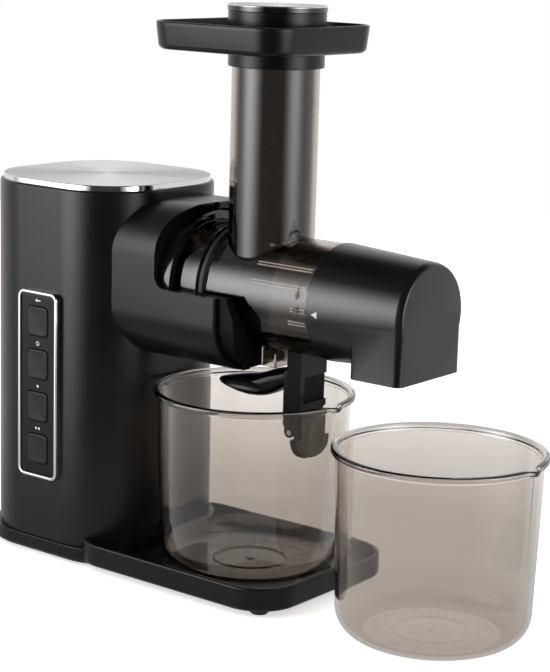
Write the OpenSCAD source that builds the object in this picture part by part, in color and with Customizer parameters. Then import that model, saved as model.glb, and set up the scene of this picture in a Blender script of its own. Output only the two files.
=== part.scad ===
// Horizontal slow juicer: motor column, screw drum with feed chute, drip tray and two beakers.
// X runs along the drum towards the pulp spout, the control panel faces -Y, and Z is up.
// Each module works from the column's axis at X = 0, Y = 0; place() moves it to the part's origin,
// which is the middle of the whole footprint, on the table.

/* [Column] */
// Half width of the square column
column_half = 58.7; // [56:0.5:66]
// Radius of the column's rounded corners
column_corner = 42; // [38:0.5:44]
// Wall of the column
column_wall = 2.5; // [2:0.5:4]
// Height of the column's closed top
column_top = 229; // [225:1:260]
// Thickness of the steel lid
lid_thick = 3.2; // [2:0.2:5]
// Step from the column's edge to the lid's edge
lid_inset = 2; // [1:0.5:4]

/* [Base and tray] */
// Height of the gap under the column's skirt
skirt_bottom = 1.5; // [1:0.25:3]
// Height of the seam between the base and the column
seam_z = 11.5; // [11:0.5:14]
// How far the skirt stands out around the column
skirt_out = 1.3; // [1:0.1:8]
// Underside of the tray
tray_bottom = 4; // [3.5:0.5:6]
// Top edge of the tray's rim
tray_top = 17.5; // [16:0.5:24]
// Floor that the beaker stands on
tray_floor = 9; // [8.5:0.5:11]
// Half depth of the tray
tray_half = 61.5; // [61.5:0.5:70]
// Space between the beaker's rim and the tray's end, seen from above
tray_margin = 1.7; // [1:0.5:20]
// Wall of the tray's rim
tray_wall = 3; // [2:0.5:4]
// Radius of the tray's outer corners
tray_corner = 26; // [15:1:40]
// Radius of the upper step of each foot
foot_r = 6.3; // [5:0.1:7]

/* [Drum] */
// Height of the drum's axis
axis_z = 176.5; // [174:0.5:185]
// Outer radius of the drum
drum_r = 33.4; // [33:0.2:36]
// Wall of the drum
drum_wall = 3.4; // [3:0.2:4.4]
// Space between the column and the drum's rear end
drum_gap = 21.3; // [20.5:0.1:23]
// Length of the drum from its rear end to the end cap
drum_len = 101.2; // [98:0.5:115]
// Length of the drum's mouth inside the end cap
mouth_len = 11; // [9:0.5:14]
// Radius of the drum's rear flange
flange_r = 36.6; // [36:0.2:37]
// Distance from the drum's rear end to the chute's axis
chute_offset = 49.5; // [49:0.5:56]
// Outer radius of the feed chute
chute_r = 25.2; // [24:0.2:27]
// Wall of the feed chute
chute_wall = 2.3; // [2:0.1:3]
// Top of the feed chute
chute_top = 313.5; // [280:0.5:340]

/* [Collar] */
// Half depth of the collar around the drum's rear end
collar_half = 46; // [46:0.5:50]
// Radius of the collar's corners
collar_corner = 30; // [20:1:36]
// Length of the collar's full ring from the column
collar_len = 33.3; // [32.5:0.1:36]
// Length of the collar's arm from the column
arm_len = 67; // [60:0.1:73]
// Wall of the collar's arm
arm_wall = 3.2; // [2.4:0.1:3.6]
// Distance of the window in the collar's front from the column
window_gap = 21.3; // [20:0.1:25]

/* [Screw] */
// Radius over the screw's flights
screw_r = 27.6; // [26:0.1:28]
// Radius of the screw's core at its rear end
core_rear_r = 15; // [12:0.5:16]
// Radius of the screw's core at its front end
core_front_r = 20; // [16:0.5:21]
// Number of turns of the flight
screw_turns = 3.5; // [2:0.25:5]
// Thickness of the flight
flight_thick = 4; // [2:0.5:6]
// Width across the flats of the drive hex
hex_flats = 12; // [9:0.5:13]
// Thickness of the strainer's wall
strainer_wall = 1.4; // [1:0.1:1.5]

/* [End cap] */
// Radius of the cap where it meets the drum
cap_r = 34; // [33.8:0.2:37]
// Radius of the cap at its end
cap_end_r = 30.2; // [28:0.2:33]
// Length of the cap
cap_len = 61.8; // [55:0.5:75]
// Wall of the cap
cap_wall = 1.8; // [1.5:0.1:2.5]
// Depth of the pulp spout below the drum's axis
spout_drop = 35; // [35:0.5:40]
// Width of the pulp spout along the drum
spout_len = 34.5; // [25:0.5:38]

/* [Feed tray and pusher] */
// Half width of the feed tray
feed_half = 48.4; // [40:0.2:60]
// Radius of the feed tray's corners
feed_corner = 18; // [10:1:30]
// Depth of the feed tray
feed_depth = 16; // [12:0.5:30]
// Wall of the feed tray
feed_wall = 2.4; // [2:0.1:4]
// Distance of the feed tray's middle behind the chute's axis
feed_shift = 10; // [0:0.5:12]
// Radius of the pusher's stem
pusher_r = 21.6; // [20:0.1:22]
// Radius of the pusher's head
pusher_head_r = 28; // [26:0.5:32]
// Height of the pusher's head without its metal disc
pusher_head_h = 20.4; // [15:0.2:30]
// Thickness of the pusher's metal disc
pusher_disc = 3.4; // [2:0.2:5]

/* [Beakers] */
// Outer radius of a beaker's rim
jug_r = 60; // [50:0.5:62]
// Height of a beaker
jug_h = 106.8; // [95:0.2:108]
// Wall of a beaker
jug_wall = 2.2; // [1.8:0.1:3]
// Outer radius of a beaker's foot, where the wall starts
jug_foot_r = 54.4; // [48:0.2:56]
// Space between the column and the rim of the beaker under the drum
jug_gap = 1.1; // [1:0.1:20]
// Distance of the spare beaker in front of the tray's end
spare_gap = 15.5; // [5:0.5:40]
// Distance of the spare beaker's middle towards the panel side
spare_shift = 7.8; // [0:0.2:20]

/* [Juice outlet] */
// Distance from the drum's rear end to the middle of the juice outlet
outlet_offset = 78.3; // [78:0.1:82]
// Thickness of the outlet block along the drum
outlet_thick = 10; // [8:0.5:11]
// Half width of the outlet block
outlet_half = 12.4; // [11:0.2:13]
// Bottom of the outlet block
outlet_bottom = 111.3; // [111:0.1:113]
// Radius of the lever's round stopper
stopper_r = 15.8; // [14:0.1:16.4]

/* [Control panel] */
// Half width of the panel's metal frame
panel_half = 16.2; // [14:0.2:17]
// Bottom of the panel's metal frame
panel_bottom = 50.4; // [45:0.2:60]
// Height of the panel's metal frame
panel_h = 115.6; // [112:0.2:125]
// How far the panel's frame stands out of the column
panel_proud = 4; // [2:0.5:6]
// Width of the frame's border
frame_border = 2; // [1.5:0.1:3]
// Half width of a push button
button_half_w = 8.5; // [7:0.1:9.5]
// Half height of a push button
button_half_h = 9.1; // [7:0.1:9.5]
// Distance of the lowest button's middle from the frame's bottom
button_first = 18.2; // [16:0.2:20]
// Distance of the highest button's middle from the frame's top
button_last = 18.5; // [16:0.1:20]

/* [Drive] */
// Tooth module of the first gear pair
module_one = 1; // [0.9:0.05:1.05]
// Tooth module of the second gear pair
module_two = 1.25; // [1.15:0.05:1.3]
// Radius of the motor's steel can
motor_r = 30; // [26:0.5:31]
// Space between the motor and the column's wall
motor_gap = 6.2; // [3:0.1:14]
// Radius of the output shaft's journal
journal_r = 8; // [7.5:0.1:8.5]

/* [Hidden] */
$fn = 96;
clear = 0.3;     // space between separate mouldings
run = 0.05;      // radial clearance of a running fit
seat = 0.02;     // radial clearance of a pressed seat
screw_head_r = 2.8;
screw_shank_r = 1.5;
screw_bore_r = 1.52;

skirt_half = column_half + skirt_out;
drum_start = column_half + drum_gap;
collar_end = column_half + collar_len;
arm_end = column_half + arm_len;
window_start = column_half + window_gap;
jug_x = column_half + jug_gap + jug_r;
tray_end = jug_x + jug_r + tray_margin;
spare_x = tray_end + spare_gap + jug_r;
lip_r = 7;
lip_x = jug_r - 4;
footprint_x0 = -skirt_half;
footprint_x1 = spare_x + lip_x + lip_r;
footprint_y0 = -max(tray_half, spare_shift + jug_r, column_half + panel_proud);
origin_x = (footprint_x0 + footprint_x1) / 2;
origin_y = (footprint_y0 + tray_half) / 2;

skirt_corner = column_corner - 6;
inner_half = column_half - column_wall;
inner_corner = column_corner - column_wall;
tray_start = column_half - 34.7;
foot_in = 16.5;
foot_xs = [foot_in + 8.5 - skirt_half, column_half + 3.3, tray_end - foot_in];
foot_y = column_half - 11.7;
plate_thick = 2.5;
screw_x = column_half - 18.7;
screw_y = column_half - 28.7;

drum_in_r = drum_r - drum_wall;
drum_end = drum_start + drum_len;
mouth_end = drum_end + mouth_len;
mouth_r = drum_r - 1.4;
seal_x = drum_start + 25.2;
skirt_x = drum_start + 50.5;
skirt_w = 10;
skirt_h = 9.6;
chute_x = drum_start + chute_offset;
hub_r = 13;

collar_mid_z = axis_z + 1;
collar_half_z = 46.5;
collar_start = column_half - 18.7;
collar_bore_r = collar_half - 2.4;
ring_out_r = collar_bore_r - 1.6;
ring_in_r = ring_out_r - 1.8;
ring_front = collar_end - 4;
ring_lip_x = ring_front - 3.2;
cradle_in_r = flange_r + 0.5;
cradle_gap = 0.3;
window_z = axis_z;
window_x = window_start;

hex_r = hex_flats / sqrt(3);
hex_end = drum_start + 12;
flight_start = drum_start + 6;
flight_end = mouth_end - 5;
pin_r = 4;
bush_start = mouth_end - 3;
bush_len = 16;
strainer_start = chute_x + chute_r - chute_wall + 1;
strainer_end = drum_end - 1;

cap_start = drum_end + clear;
cap_stop = cap_start + cap_len;
cap_bore_r = mouth_r + clear;
spout_half = cap_end_r;

feed_x = chute_x - feed_shift;
feed_floor = chute_top + clear;
sleeve_r = chute_r + clear + 2;
feed_top = feed_floor + feed_depth;
pusher_seat = feed_floor + feed_wall + clear;
pusher_tip = axis_z + screw_r + 3;

outlet_x = drum_start + outlet_offset;
nozzle_drop = 2.6;
hinge_pin_r = 1.5;
hinge_drop = 13.2;
hinge_x = outlet_x - 2.8;
hinge_z = outlet_bottom - hinge_drop;
ear_r = 3;
ear_in = outlet_half - 1.8;
hub_half = ear_in - 0.3;
shoulder_z = hinge_z - ear_r - 0.3;
stopper_z = hinge_z - 2.8;
stopper_front = hinge_x + hinge_drop - nozzle_drop - 0.1;
pad_thick = 4;
pad_reach = 17.4;  // swings clear of the beaker's wall
paddle_len = 58;

panel_x = 1.5;
panel_front = -column_half - panel_proud;
fascia_front = panel_front + 1;
button_travel = 1.2;
board_front = -inner_half + 10.2;
board_back = inner_half - 10.6;
button_count = 4;
button_pitch = (panel_h - button_first - button_last) / (button_count - 1);

pinion_teeth = 12;
wheel_teeth = 60;
output_teeth = 56;
reach_one = module_one * (pinion_teeth + wheel_teeth) / 2;
reach_two = module_two * (pinion_teeth + output_teeth) / 2;
idler_z = axis_z - reach_two;
motor_z = idler_z - reach_one;
board_screws = [motor_z - 23, motor_z + 47];
frame_thick = 3;
frame_half = column_half - 23.2;
rear_plate_x = column_half - 42.7;
front_plate_x = rear_plate_x + 30.5;
wheel_x = rear_plate_x + frame_thick + 2;
wheel_thick = 8;
output_x = wheel_x + wheel_thick + 2;
output_thick = 13;
rotor_r = 4;
bell_thick = 4;
motor_x1 = rear_plate_x - 12;
motor_x0 = motor_gap + bell_thick + 2 - inner_half;
hub_out_r = 19;
bearing_x = front_plate_x + frame_thick + 2;
bearing_thick = 8;
bearing_out_r = 14;
hub_end = drum_start - 14;

// ---- helpers ----

module place() {
    translate([-origin_x, -origin_y, 0]) children();
}

// Flat rounded rectangle around the origin.
module rounded_plate(half_x, half_y, corner) {
    square([2 * half_x, 2 * (half_y - corner)], center = true);
    square([2 * (half_x - corner), 2 * half_y], center = true);
    for (sx = [-1, 1], sy = [-1, 1])
        translate([sx * (half_x - corner), sy * (half_y - corner)]) circle(r = corner);
}

module prism(half_x, half_y, corner, z0, z1) {
    translate([0, 0, z0]) linear_extrude(z1 - z0) rounded_plate(half_x, half_y, corner);
}

// Box given by its two corners.
module box(p0, p1) {
    translate(p0) cube(p1 - p0);
}

// Cylinder or cone along X.
module rod_x(r, x0, x1, y = 0, z = axis_z, r2 = undef) {
    translate([x0, y, z]) rotate([0, 90, 0]) cylinder(h = x1 - x0, r1 = r, r2 = is_undef(r2) ? r : r2);
}

module rod_y(r, y0, y1, x, z) {
    translate([x, y1, z]) rotate([90, 0, 0]) cylinder(h = y1 - y0, r = r);
}

module rod_z(r, z0, z1, x = 0, y = 0) {
    translate([x, y, z0]) cylinder(h = z1 - z0, r = r);
}

module tube_x(r_out, r_in, x0, x1, y = 0, z = axis_z) {
    difference() {
        rod_x(r_out, x0, x1, y, z);
        rod_x(r_in, x0 - 1, x1 + 1, y, z);
    }
}

// One straight-flanked tooth outline, as four points around angle a.
function tooth_points(teeth, m, a) = let (
    rp = teeth * m / 2, ra = rp + 0.85 * m, rf = rp - 1.15 * m,
    half = PI * m * 0.21, deg = 180 / PI,
    root = (half + 1.15 * m * tan(20)) / rf * deg, tip = (half - 0.85 * m * tan(20)) / ra * deg
) [for (p = [[rf, -root], [ra, -tip], [ra, tip], [rf, root]]) p[0] * [cos(a + p[1]), sin(a + p[1])]];

// Spur gear whose tooth points down when phase is 0.
module spur_gear(teeth, m, x0, thick, z, phase = 0) {
    outline = [for (i = [0:teeth - 1]) each tooth_points(teeth, m, i * 360 / teeth + phase)];
    translate([x0, 0, z]) rotate([0, 90, 0]) linear_extrude(thick) polygon(outline);
}

module screw_up(x, y, z0, len) {
    rod_z(screw_head_r, z0, z0 + 1.6, x, y);
    rod_z(screw_shank_r, z0 + 1.6, z0 + len, x, y);
}

module screw_along_x(x0, y, z, len) {
    rod_x(screw_head_r, x0 - 1.6, x0, y, z);
    rod_x(screw_shank_r, x0, x0 + len, y, z);
}

// ---- column and base ----

module base_outline() {
    rounded_plate(skirt_half, skirt_half, skirt_corner);
}

module tray_outline(shrink = 0) {
    mid = (tray_start + tray_end) / 2;
    translate([mid, 0])
        rounded_plate((tray_end - tray_start) / 2 - shrink, tray_half - shrink, tray_corner - shrink);
}

module at_feet() {
    for (x = foot_xs, sy = [-1, 1]) translate([x, sy * foot_y, 0]) children();
}

module at_base_screws() {
    for (sx = [-1, 1], sy = [-1, 1]) translate([sx * screw_x, sy * screw_y, 0]) children();
}

// Skirt under the column and the tray that the beaker stands on, in one moulding.
module base() {
    color("#1b1b1c") difference() {
        union() {
            translate([0, 0, skirt_bottom]) linear_extrude(seam_z - skirt_bottom) base_outline();
            translate([0, 0, tray_bottom]) linear_extrude(tray_top - tray_bottom) tray_outline();
        }
        // room for the column above the seam
        prism(column_half + 0.2, column_half + 0.2, column_corner, seam_z, tray_top + 1);
        // the tray's recess
        difference() {
            translate([0, 0, tray_floor]) linear_extrude(tray_top) tray_outline(tray_wall);
            prism(column_half + tray_wall, column_half + tray_wall, column_corner, 0, tray_top + 1);
            difference() {
                rod_z(jug_r - 0.5, tray_floor - 1, tray_floor + 2, jug_x);
                rod_z(jug_foot_r + 2, tray_floor - 2, tray_floor + 3, jug_x);
            }
        }
        // hollow under the column, closed by the bottom plate
        prism(skirt_half - 3, skirt_half - 3, skirt_corner - 3, 0, 8.5);
        prism(column_half - 12, column_half - 12, column_corner - 12, 8, seam_z + 1);
        // hollow under the tray
        difference() {
            translate([0, 0, 0]) linear_extrude(tray_floor - 2.5) tray_outline(tray_wall);
            prism(skirt_half, skirt_half, skirt_corner, -1, tray_floor);
            at_feet() rod_z(foot_r + 2, 0, tray_floor);
            for (x = [jug_x - 30, jug_x, jug_x + 30]) box([x - 1, -tray_half, 0], [x + 1, tray_half, tray_floor]);
        }
        // foot studs and screw holes
        at_feet() rod_z(2.02, 0, 7);
        at_base_screws() rod_z(screw_bore_r, 0, seam_z + 1);
    }
    // pillars that carry the bottom plate's screws and the rear feet
    color("#1b1b1c") difference() {
        union() {
            at_base_screws() rod_z(5, tray_bottom, 8.5);
            for (sy = [-1, 1]) rod_z(foot_r + 2, tray_bottom, 8.5, foot_xs[0], sy * foot_y);
        }
        at_base_screws() rod_z(screw_bore_r, 0, seam_z + 1);
        at_feet() rod_z(2.02, 0, 7);
    }
}

module bottom_plate() {
    color("#202020") difference() {
        prism(skirt_half - 3.3, skirt_half - 3.3, skirt_corner - 3.3, skirt_bottom, skirt_bottom + plate_thick);
        at_feet() rod_z(foot_r + clear, 0, tray_bottom + 1);
        at_base_screws() rod_z(screw_bore_r, 0, seam_z);
        at_base_screws() rod_z(screw_head_r + 0.2, 0, skirt_bottom + 1.6);
        for (x = [-22:4.4:22]) box([x - 1.2, -20, 0], [x + 1.2, 20, seam_z]);
    }
}

// Stepped rubber feet with a stud that holds them in the base.
module feet() {
    color("#161616") at_feet() {
        rod_z(foot_r - 1.5, 0, 1.5);
        rod_z(foot_r, 1.5, tray_bottom);
        rod_z(2, tray_bottom, 6.8);
    }
}

module base_screws() {
    color("#8a8d90") at_base_screws() screw_up(0, 0, skirt_bottom, 18);
}

module panel_opening() {
    half = panel_half - frame_border - 0.4;
    box([panel_x - half, -column_half - 1, panel_bottom + frame_border + 0.4],
        [panel_x + half, -inner_half + 1, panel_bottom + panel_h - frame_border - 0.4]);
}

// Column shell, closed at the top, with screw pillars at its foot.
module housing() {
    color("#1c1c1d") difference() {
        union() {
            difference() {
                prism(column_half, column_half, column_corner, seam_z, column_top);
                prism(inner_half, inner_half, inner_corner, seam_z - 1, column_top - column_wall);
            }
            at_base_screws() rod_z(5, seam_z, seam_z + 12);
            for (sx = [-1, 1], sy = [-1, 1])
                box([min(sx * screw_x, sx * (inner_half - 3)), sy * screw_y - 1, seam_z],
                    [max(sx * screw_x, sx * (inner_half - 3)), sy * screw_y + 1, seam_z + 12]);
            // rails that carry the switch board
            for (sx = [-1, 1]) box([panel_x + sx * 14.6 - 0.6, -inner_half - 1, panel_bottom + 5],
                [panel_x + sx * 14.6 + 0.6, board_front, panel_bottom + panel_h - 5]);
            // posts that carry the control board
            for (sx = [-1, 1], z = board_screws) rod_y(3, board_back, inner_half + 1, sx * 13, z);
        }
        at_base_screws() rod_z(screw_bore_r, seam_z - 1, seam_z + 9);
        panel_opening();
        // drive opening towards the drum
        rod_x(hub_out_r + clear, inner_half - 2, column_half + 2);
        for (sy = [-1, 1], sz = [-1, 1])
            rod_x(screw_bore_r, inner_half - 2, column_half + 2, sy * 14, axis_z + sz * 30);
        // screws of the gear frame
        for (sy = [-1, 1]) rod_x(screw_bore_r, inner_half - 2, column_half - 0.8, sy * 13, motor_z - 6);
        // cable inlet and cooling slots in the rear
        rod_y(7.02, inner_half - 1, column_half + 1, 0, 32);
        for (z = [150:5:185]) box([-15, inner_half - 1, z - 1.2], [15, column_half + 1, z + 1.2]);
    }
}

// Steel lid disc on the column's top.
module lid() {
    color("#c9cbcd") prism(column_half - lid_inset, column_half - lid_inset, column_corner - lid_inset,
        column_top, column_top + lid_thick);
}

module cord_inlet() {
    color("#151515") difference() {
        union() {
            rod_y(10, column_half, column_half + 1.2, 0, 32);
            rod_y(7, inner_half - 3, column_half, 0, 32);
        }
        rod_y(4, inner_half - 4, column_half + 2, 0, 32);
    }
}

// ---- control panel ----

function button_z(i) = panel_bottom + button_first + (button_count - 1 - i) * button_pitch;

module upright_plate(half_w, half_h, corner, y0, y1, x, z) {
    translate([x, y1, z]) rotate([90, 0, 0]) linear_extrude(y1 - y0) rounded_plate(half_w, half_h, corner);
}

panel_mid = panel_bottom + panel_h / 2;

module bezel() {
    color("#d0d2d4") difference() {
        upright_plate(panel_half, panel_h / 2, 4, panel_front, -column_half, panel_x, panel_mid);
        upright_plate(panel_half - frame_border, panel_h / 2 - frame_border, 2.6, panel_front - 1,
            -column_half + 1, panel_x, panel_mid);
    }
}

module button_hole(i, grow) {
    upright_plate(button_half_w + grow, button_half_h + grow, 3 + grow, panel_front - 2, -inner_half + 4,
        panel_x, button_z(i));
}

module fascia() {
    half_w = panel_half - frame_border - 0.1;
    half_h = panel_h / 2 - frame_border - 0.1;
    color("#141415") difference() {
        union() {
            upright_plate(half_w, half_h, 2.5, fascia_front, -column_half, panel_x, panel_mid);
            upright_plate(half_w - 0.6, half_h - 0.6, 2, -column_half, -inner_half + 0.5, panel_x, panel_mid);
        }
        for (i = [0:button_count - 1]) button_hole(i, 0.35);
    }
}

// Push button: a cap that slides in the fascia and a stem to its switch.
module push_button(i) {
    z = button_z(i);
    color("#232325") {
        upright_plate(button_half_w, button_half_h, 3, fascia_front - 0.8, -inner_half + 0.4, panel_x, z);
        rod_y(2, -inner_half + 0.4, board_front - 3.4 - button_travel - 0.2, panel_x, z);
    }
}

module button_1() { push_button(0); }
module button_2() { push_button(1); }
module button_3() { push_button(2); }
module button_4() { push_button(3); }

module tact_switches() {
    color("#3a3a3c") for (i = [0:button_count - 1])
        box([panel_x - 3, board_front - 3.4, button_z(i) - 3], [panel_x + 3, board_front, button_z(i) + 3]);
}

module switch_board() {
    color("#1f5b34") difference() {
        box([panel_x - 15.2, board_front, panel_bottom + 5],
            [panel_x + 15.2, board_front + 1.6, panel_bottom + panel_h - 5]);
        for (z = [panel_bottom + 9, panel_bottom + panel_h - 9])
            rod_y(1.6, board_front - 1, board_front + 3, panel_x + 10, z);
    }
}

// ---- drive ----

module motor_can() {
    color("#6f7275") tube_x(motor_r, motor_r - 2, motor_x0, motor_x1, 0, motor_z);
}

module motor_bell(x0) {
    color("#9a9c9f") difference() {
        rod_x(motor_r, x0, x0 + bell_thick, 0, motor_z);
        rod_x(rotor_r + run, x0 - 1, x0 + bell_thick + 1, 0, motor_z);
        for (a = [30:60:330]) translate([0, 17 * cos(a), 17 * sin(a)])
            rod_x(4.5, x0 - 1, x0 + bell_thick + 1, 0, motor_z);
    }
}

module motor_front_bell() {
    motor_bell(motor_x1);
    color("#9a9c9f") for (sy = [-1, 1])
        rod_x(3, motor_x1 + bell_thick, rear_plate_x, sy * 25, motor_z);
}

module motor_rear_bell() { motor_bell(motor_x0 - bell_thick); }

module rotor() {
    color("#b0713a") {
        rod_x(motor_r - 7, motor_x0 + 8, motor_x1 - 8, 0, motor_z);
        rod_x(rotor_r, motor_x0 - bell_thick - 1, wheel_x + wheel_thick + 1, 0, motor_z);
    }
}

module motor_pinion() {
    color("#c2c4c6") difference() {
        spur_gear(pinion_teeth, module_one, wheel_x - 0.5, wheel_thick + 1, motor_z, 180 / pinion_teeth);
        rod_x(rotor_r + seat, wheel_x - 2, wheel_x + wheel_thick + 2, 0, motor_z);
    }
}

module fan() {
    x0 = motor_x1 + bell_thick + 1.2;
    color("#e8e4d8") difference() {
        union() {
            rod_x(8, x0, x0 + 5, 0, motor_z);
            for (a = [0:30:330]) translate([x0, 0, motor_z]) rotate([a, 0, 0])
                box([0, 6, -0.6], [5, 20.5, 0.6]);
        }
        rod_x(rotor_r + seat, x0 - 1, x0 + 6, 0, motor_z);
    }
}

module frame_plate(x0) {
    translate([x0, 0, 0]) rotate([90, 0, 90]) linear_extrude(frame_thick)
        translate([0, (motor_z + axis_z) / 2 + 3]) rounded_plate(frame_half, (axis_z - motor_z) / 2 + 37, 20);
}

module at_pillars() {
    for (sy = [-1, 1], z = [motor_z - 18, axis_z + 30])
        translate([0, sy * (frame_half - 7.5), z]) children();
}

module frame_rear() {
    color("#2b2d30") difference() {
        union() {
            frame_plate(rear_plate_x);
            at_pillars() rod_x(4, rear_plate_x + frame_thick, front_plate_x, 0, 0);
        }
        at_pillars() rod_x(screw_bore_r, front_plate_x - 12, front_plate_x + 1, 0, 0);
        rod_x(rotor_r + 1, rear_plate_x - 1, rear_plate_x + 4, 0, motor_z);
        rod_x(4 + seat, rear_plate_x - 1, rear_plate_x + 4, 0, idler_z);
        rod_x(journal_r + run, rear_plate_x - 1, rear_plate_x + 4);
    }
}

// Front plate of the gear frame with the hub that holds the output bearing and the shaft seal.
module frame_front() {
    color("#2b2d30") difference() {
        union() {
            frame_plate(front_plate_x);
            rod_x(hub_out_r, front_plate_x + frame_thick, hub_end);
            for (sy = [-1, 1]) rod_x(4, front_plate_x + frame_thick, inner_half, sy * 13, motor_z - 6);
        }
        at_pillars() rod_x(screw_bore_r, front_plate_x - 1, front_plate_x + frame_thick + 1, 0, 0);
        for (sy = [-1, 1]) rod_x(screw_bore_r, front_plate_x - 1, inner_half + 1, sy * 13, motor_z - 6);
        rod_x(4 + seat, front_plate_x - 1, front_plate_x + frame_thick + 1, 0, idler_z);
        rod_x(journal_r + 2, front_plate_x - 1, hub_end + 1);
        rod_x(bearing_out_r + seat, bearing_x, hub_end + 1);
    }
}

module frame_screws() {
    color("#8a8d90") {
        at_pillars() difference() {
            translate([front_plate_x + frame_thick, 0, 0]) union() {
                rod_x(screw_head_r, 0, 1.6, 0, 0);
                rod_x(screw_shank_r, -12, 0, 0, 0);
            }
        }
        for (sy = [-1, 1]) {
            rod_x(screw_head_r, front_plate_x - 1.6, front_plate_x, sy * 13, motor_z - 6);
            rod_x(screw_shank_r, front_plate_x, column_half - 1, sy * 13, motor_z - 6);
        }
    }
}

module idler_gear() {
    color("#e9e7e0") difference() {
        union() {
            spur_gear(wheel_teeth, module_one, wheel_x, wheel_thick, idler_z);
            spur_gear(pinion_teeth, module_two, wheel_x + wheel_thick, output_x + output_thick - wheel_x
                - wheel_thick + 1, idler_z, 180 / pinion_teeth);
        }
        rod_x(4 + run, wheel_x - 1, front_plate_x, 0, idler_z);
    }
}

module idler_axle() {
    color("#b9bcbf") rod_x(4, rear_plate_x, front_plate_x + frame_thick, 0, idler_z);
}

module output_gear() {
    color("#e9e7e0") difference() {
        union() {
            spur_gear(output_teeth, module_two, output_x, output_thick, axis_z);
            rod_x(journal_r + 4, output_x + output_thick, output_x + output_thick + 1.5);
        }
        rod_x(journal_r + seat, output_x - 1, output_x + output_thick + 3);
    }
}

module output_shaft() {
    color("#c4c7ca") {
        rod_x(journal_r, rear_plate_x, hub_end + 2);
        translate([hub_end + 2, 0, axis_z]) rotate([0, 90, 0]) cylinder(h = hex_end - hub_end - 2, r = hex_r, $fn = 6);
    }
}

module ball_bearing() {
    color("#a9acaf") tube_x(bearing_out_r, journal_r + seat, bearing_x, bearing_x + bearing_thick);
}

module shaft_seal() {
    color("#252525") tube_x(bearing_out_r, journal_r + seat, bearing_x + bearing_thick + 0.2, hub_end - 0.5);
}

module control_board() {
    color("#1f5b34") difference() {
        box([-30, board_back - 1.6, board_screws[0] - 7], [18, board_back, board_screws[1] + 7]);
        for (sx = [-1, 1], z = board_screws) rod_y(screw_bore_r, board_back - 3, board_back + 1, sx * 13, z);
    }
}

module control_parts() {
    color("#3c3f45") {
        face = board_back - 1.6;
        z = board_screws[0];
        rod_y(6.5, face - 11, face, -18, z + 35);
        rod_y(4, face - 8, face, -20, z + 53);
        box([2, face - 9, z + 9], [16, face, z + 23]);
        box([-8, face - 6, z + 25], [4, face, z + 31]);
        box([-26, face - 8, z + 1], [-18, face, z + 21]);
    }
}

// ---- drum and collar ----

module collar_shape(x0, x1, half_y, half_z, corner) {
    translate([x0, 0, collar_mid_z]) rotate([90, 0, 90]) linear_extrude(x1 - x0)
        rounded_plate(half_y, half_z, corner);
}

// Profile of the collar's opening, seen from the panel side: the window, and all that lies past it.
module window_profile() {
    c = 8;
    translate([window_x + c, window_z + c]) circle(r = c);
    polygon([[window_x, window_z + c], [window_x, window_z + 26], [window_x + 1.5, window_z + 34],
        [window_x + 5, window_z + 41.5], [window_x + 10, window_z + 46.5], [window_x + 10.5, window_z + 60],
        [arm_end + 20, window_z + 60], [arm_end + 20, window_z], [window_x + c, window_z]]);
}

module window_cut(y0, y1) {
    translate([0, y1, 0]) rotate([90, 0, 0]) linear_extrude(y1 - y0) window_profile();
}

// Collar on the column: full ring at the rear, a thin-walled arm below, and a window in the panel side.
module collar() {
    color("#1c1c1d") difference() {
        union() {
            collar_shape(collar_start, collar_end, collar_half, collar_half_z, collar_corner);
            intersection() {
                collar_shape(collar_start, arm_end, collar_half, collar_half_z, collar_corner);
                box([collar_start, -100, 0], [arm_end, 100, window_z]);
            }
        }
        prism(column_half + 0.05, column_half + 0.05, column_corner, 0, column_top);
        rod_x(hub_out_r + clear, collar_start, drum_start - 8);
        rod_x(collar_bore_r, column_half + 4, collar_end + 1);
        collar_shape(collar_end - 1.5, arm_end + 1, collar_half - arm_wall, collar_half_z - arm_wall,
            collar_corner - arm_wall);
        window_cut(-60, -2);
        for (sy = [-1, 1], sz = [-1, 1])
            rod_x(screw_bore_r, column_half - 1, column_half + 5, sy * 14, axis_z + sz * 30);
    }
}

module collar_screws() {
    color("#8a8d90") for (sy = [-1, 1], sz = [-1, 1]) {
        rod_x(screw_head_r, column_half + 4, column_half + 5.6, sy * 14, axis_z + sz * 30);
        rod_x(screw_shank_r, inner_half - 1, column_half + 4, sy * 14, axis_z + sz * 30);
    }
}

// Half turn around the drum's axis: keeps what lies between two angles, counted up from the panel side.
module drum_sector(a0, a1) {
    far = 2 * collar_half;
    translate([0, 0, axis_z]) rotate([90, 0, 90]) linear_extrude(drum_end)
        polygon(concat([[0, 0]], [for (i = [0:6]) let (a = 180 - a0 - (a1 - a0) * i / 6) [far * cos(a), far * sin(a)]]));
}

// Bayonet ring in the collar; its front lip has notches for the drum's lugs, and a stop block stands in the window.
module bayonet_ring() {
    color("#0e0e0f") difference() {
        union() {
            rod_x(collar_bore_r - 0.1, column_half + 6, column_half + 13);
            rod_x(ring_out_r, column_half + 6, ring_front);
            intersection() {
                rod_x(collar_bore_r - 0.2, column_half + 15, window_start + 2);
                drum_sector(42, 62);
            }
        }
        rod_x(ring_in_r, column_half + 5, ring_lip_x);
        rod_x(flange_r + 0.6, ring_lip_x - 1, ring_front + 1);
        for (a = [-62:120:178]) intersection() {
            rod_x(ring_in_r, ring_lip_x - 1, ring_front + 1);
            drum_sector(a, a + 30);
        }
    }
}

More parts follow.
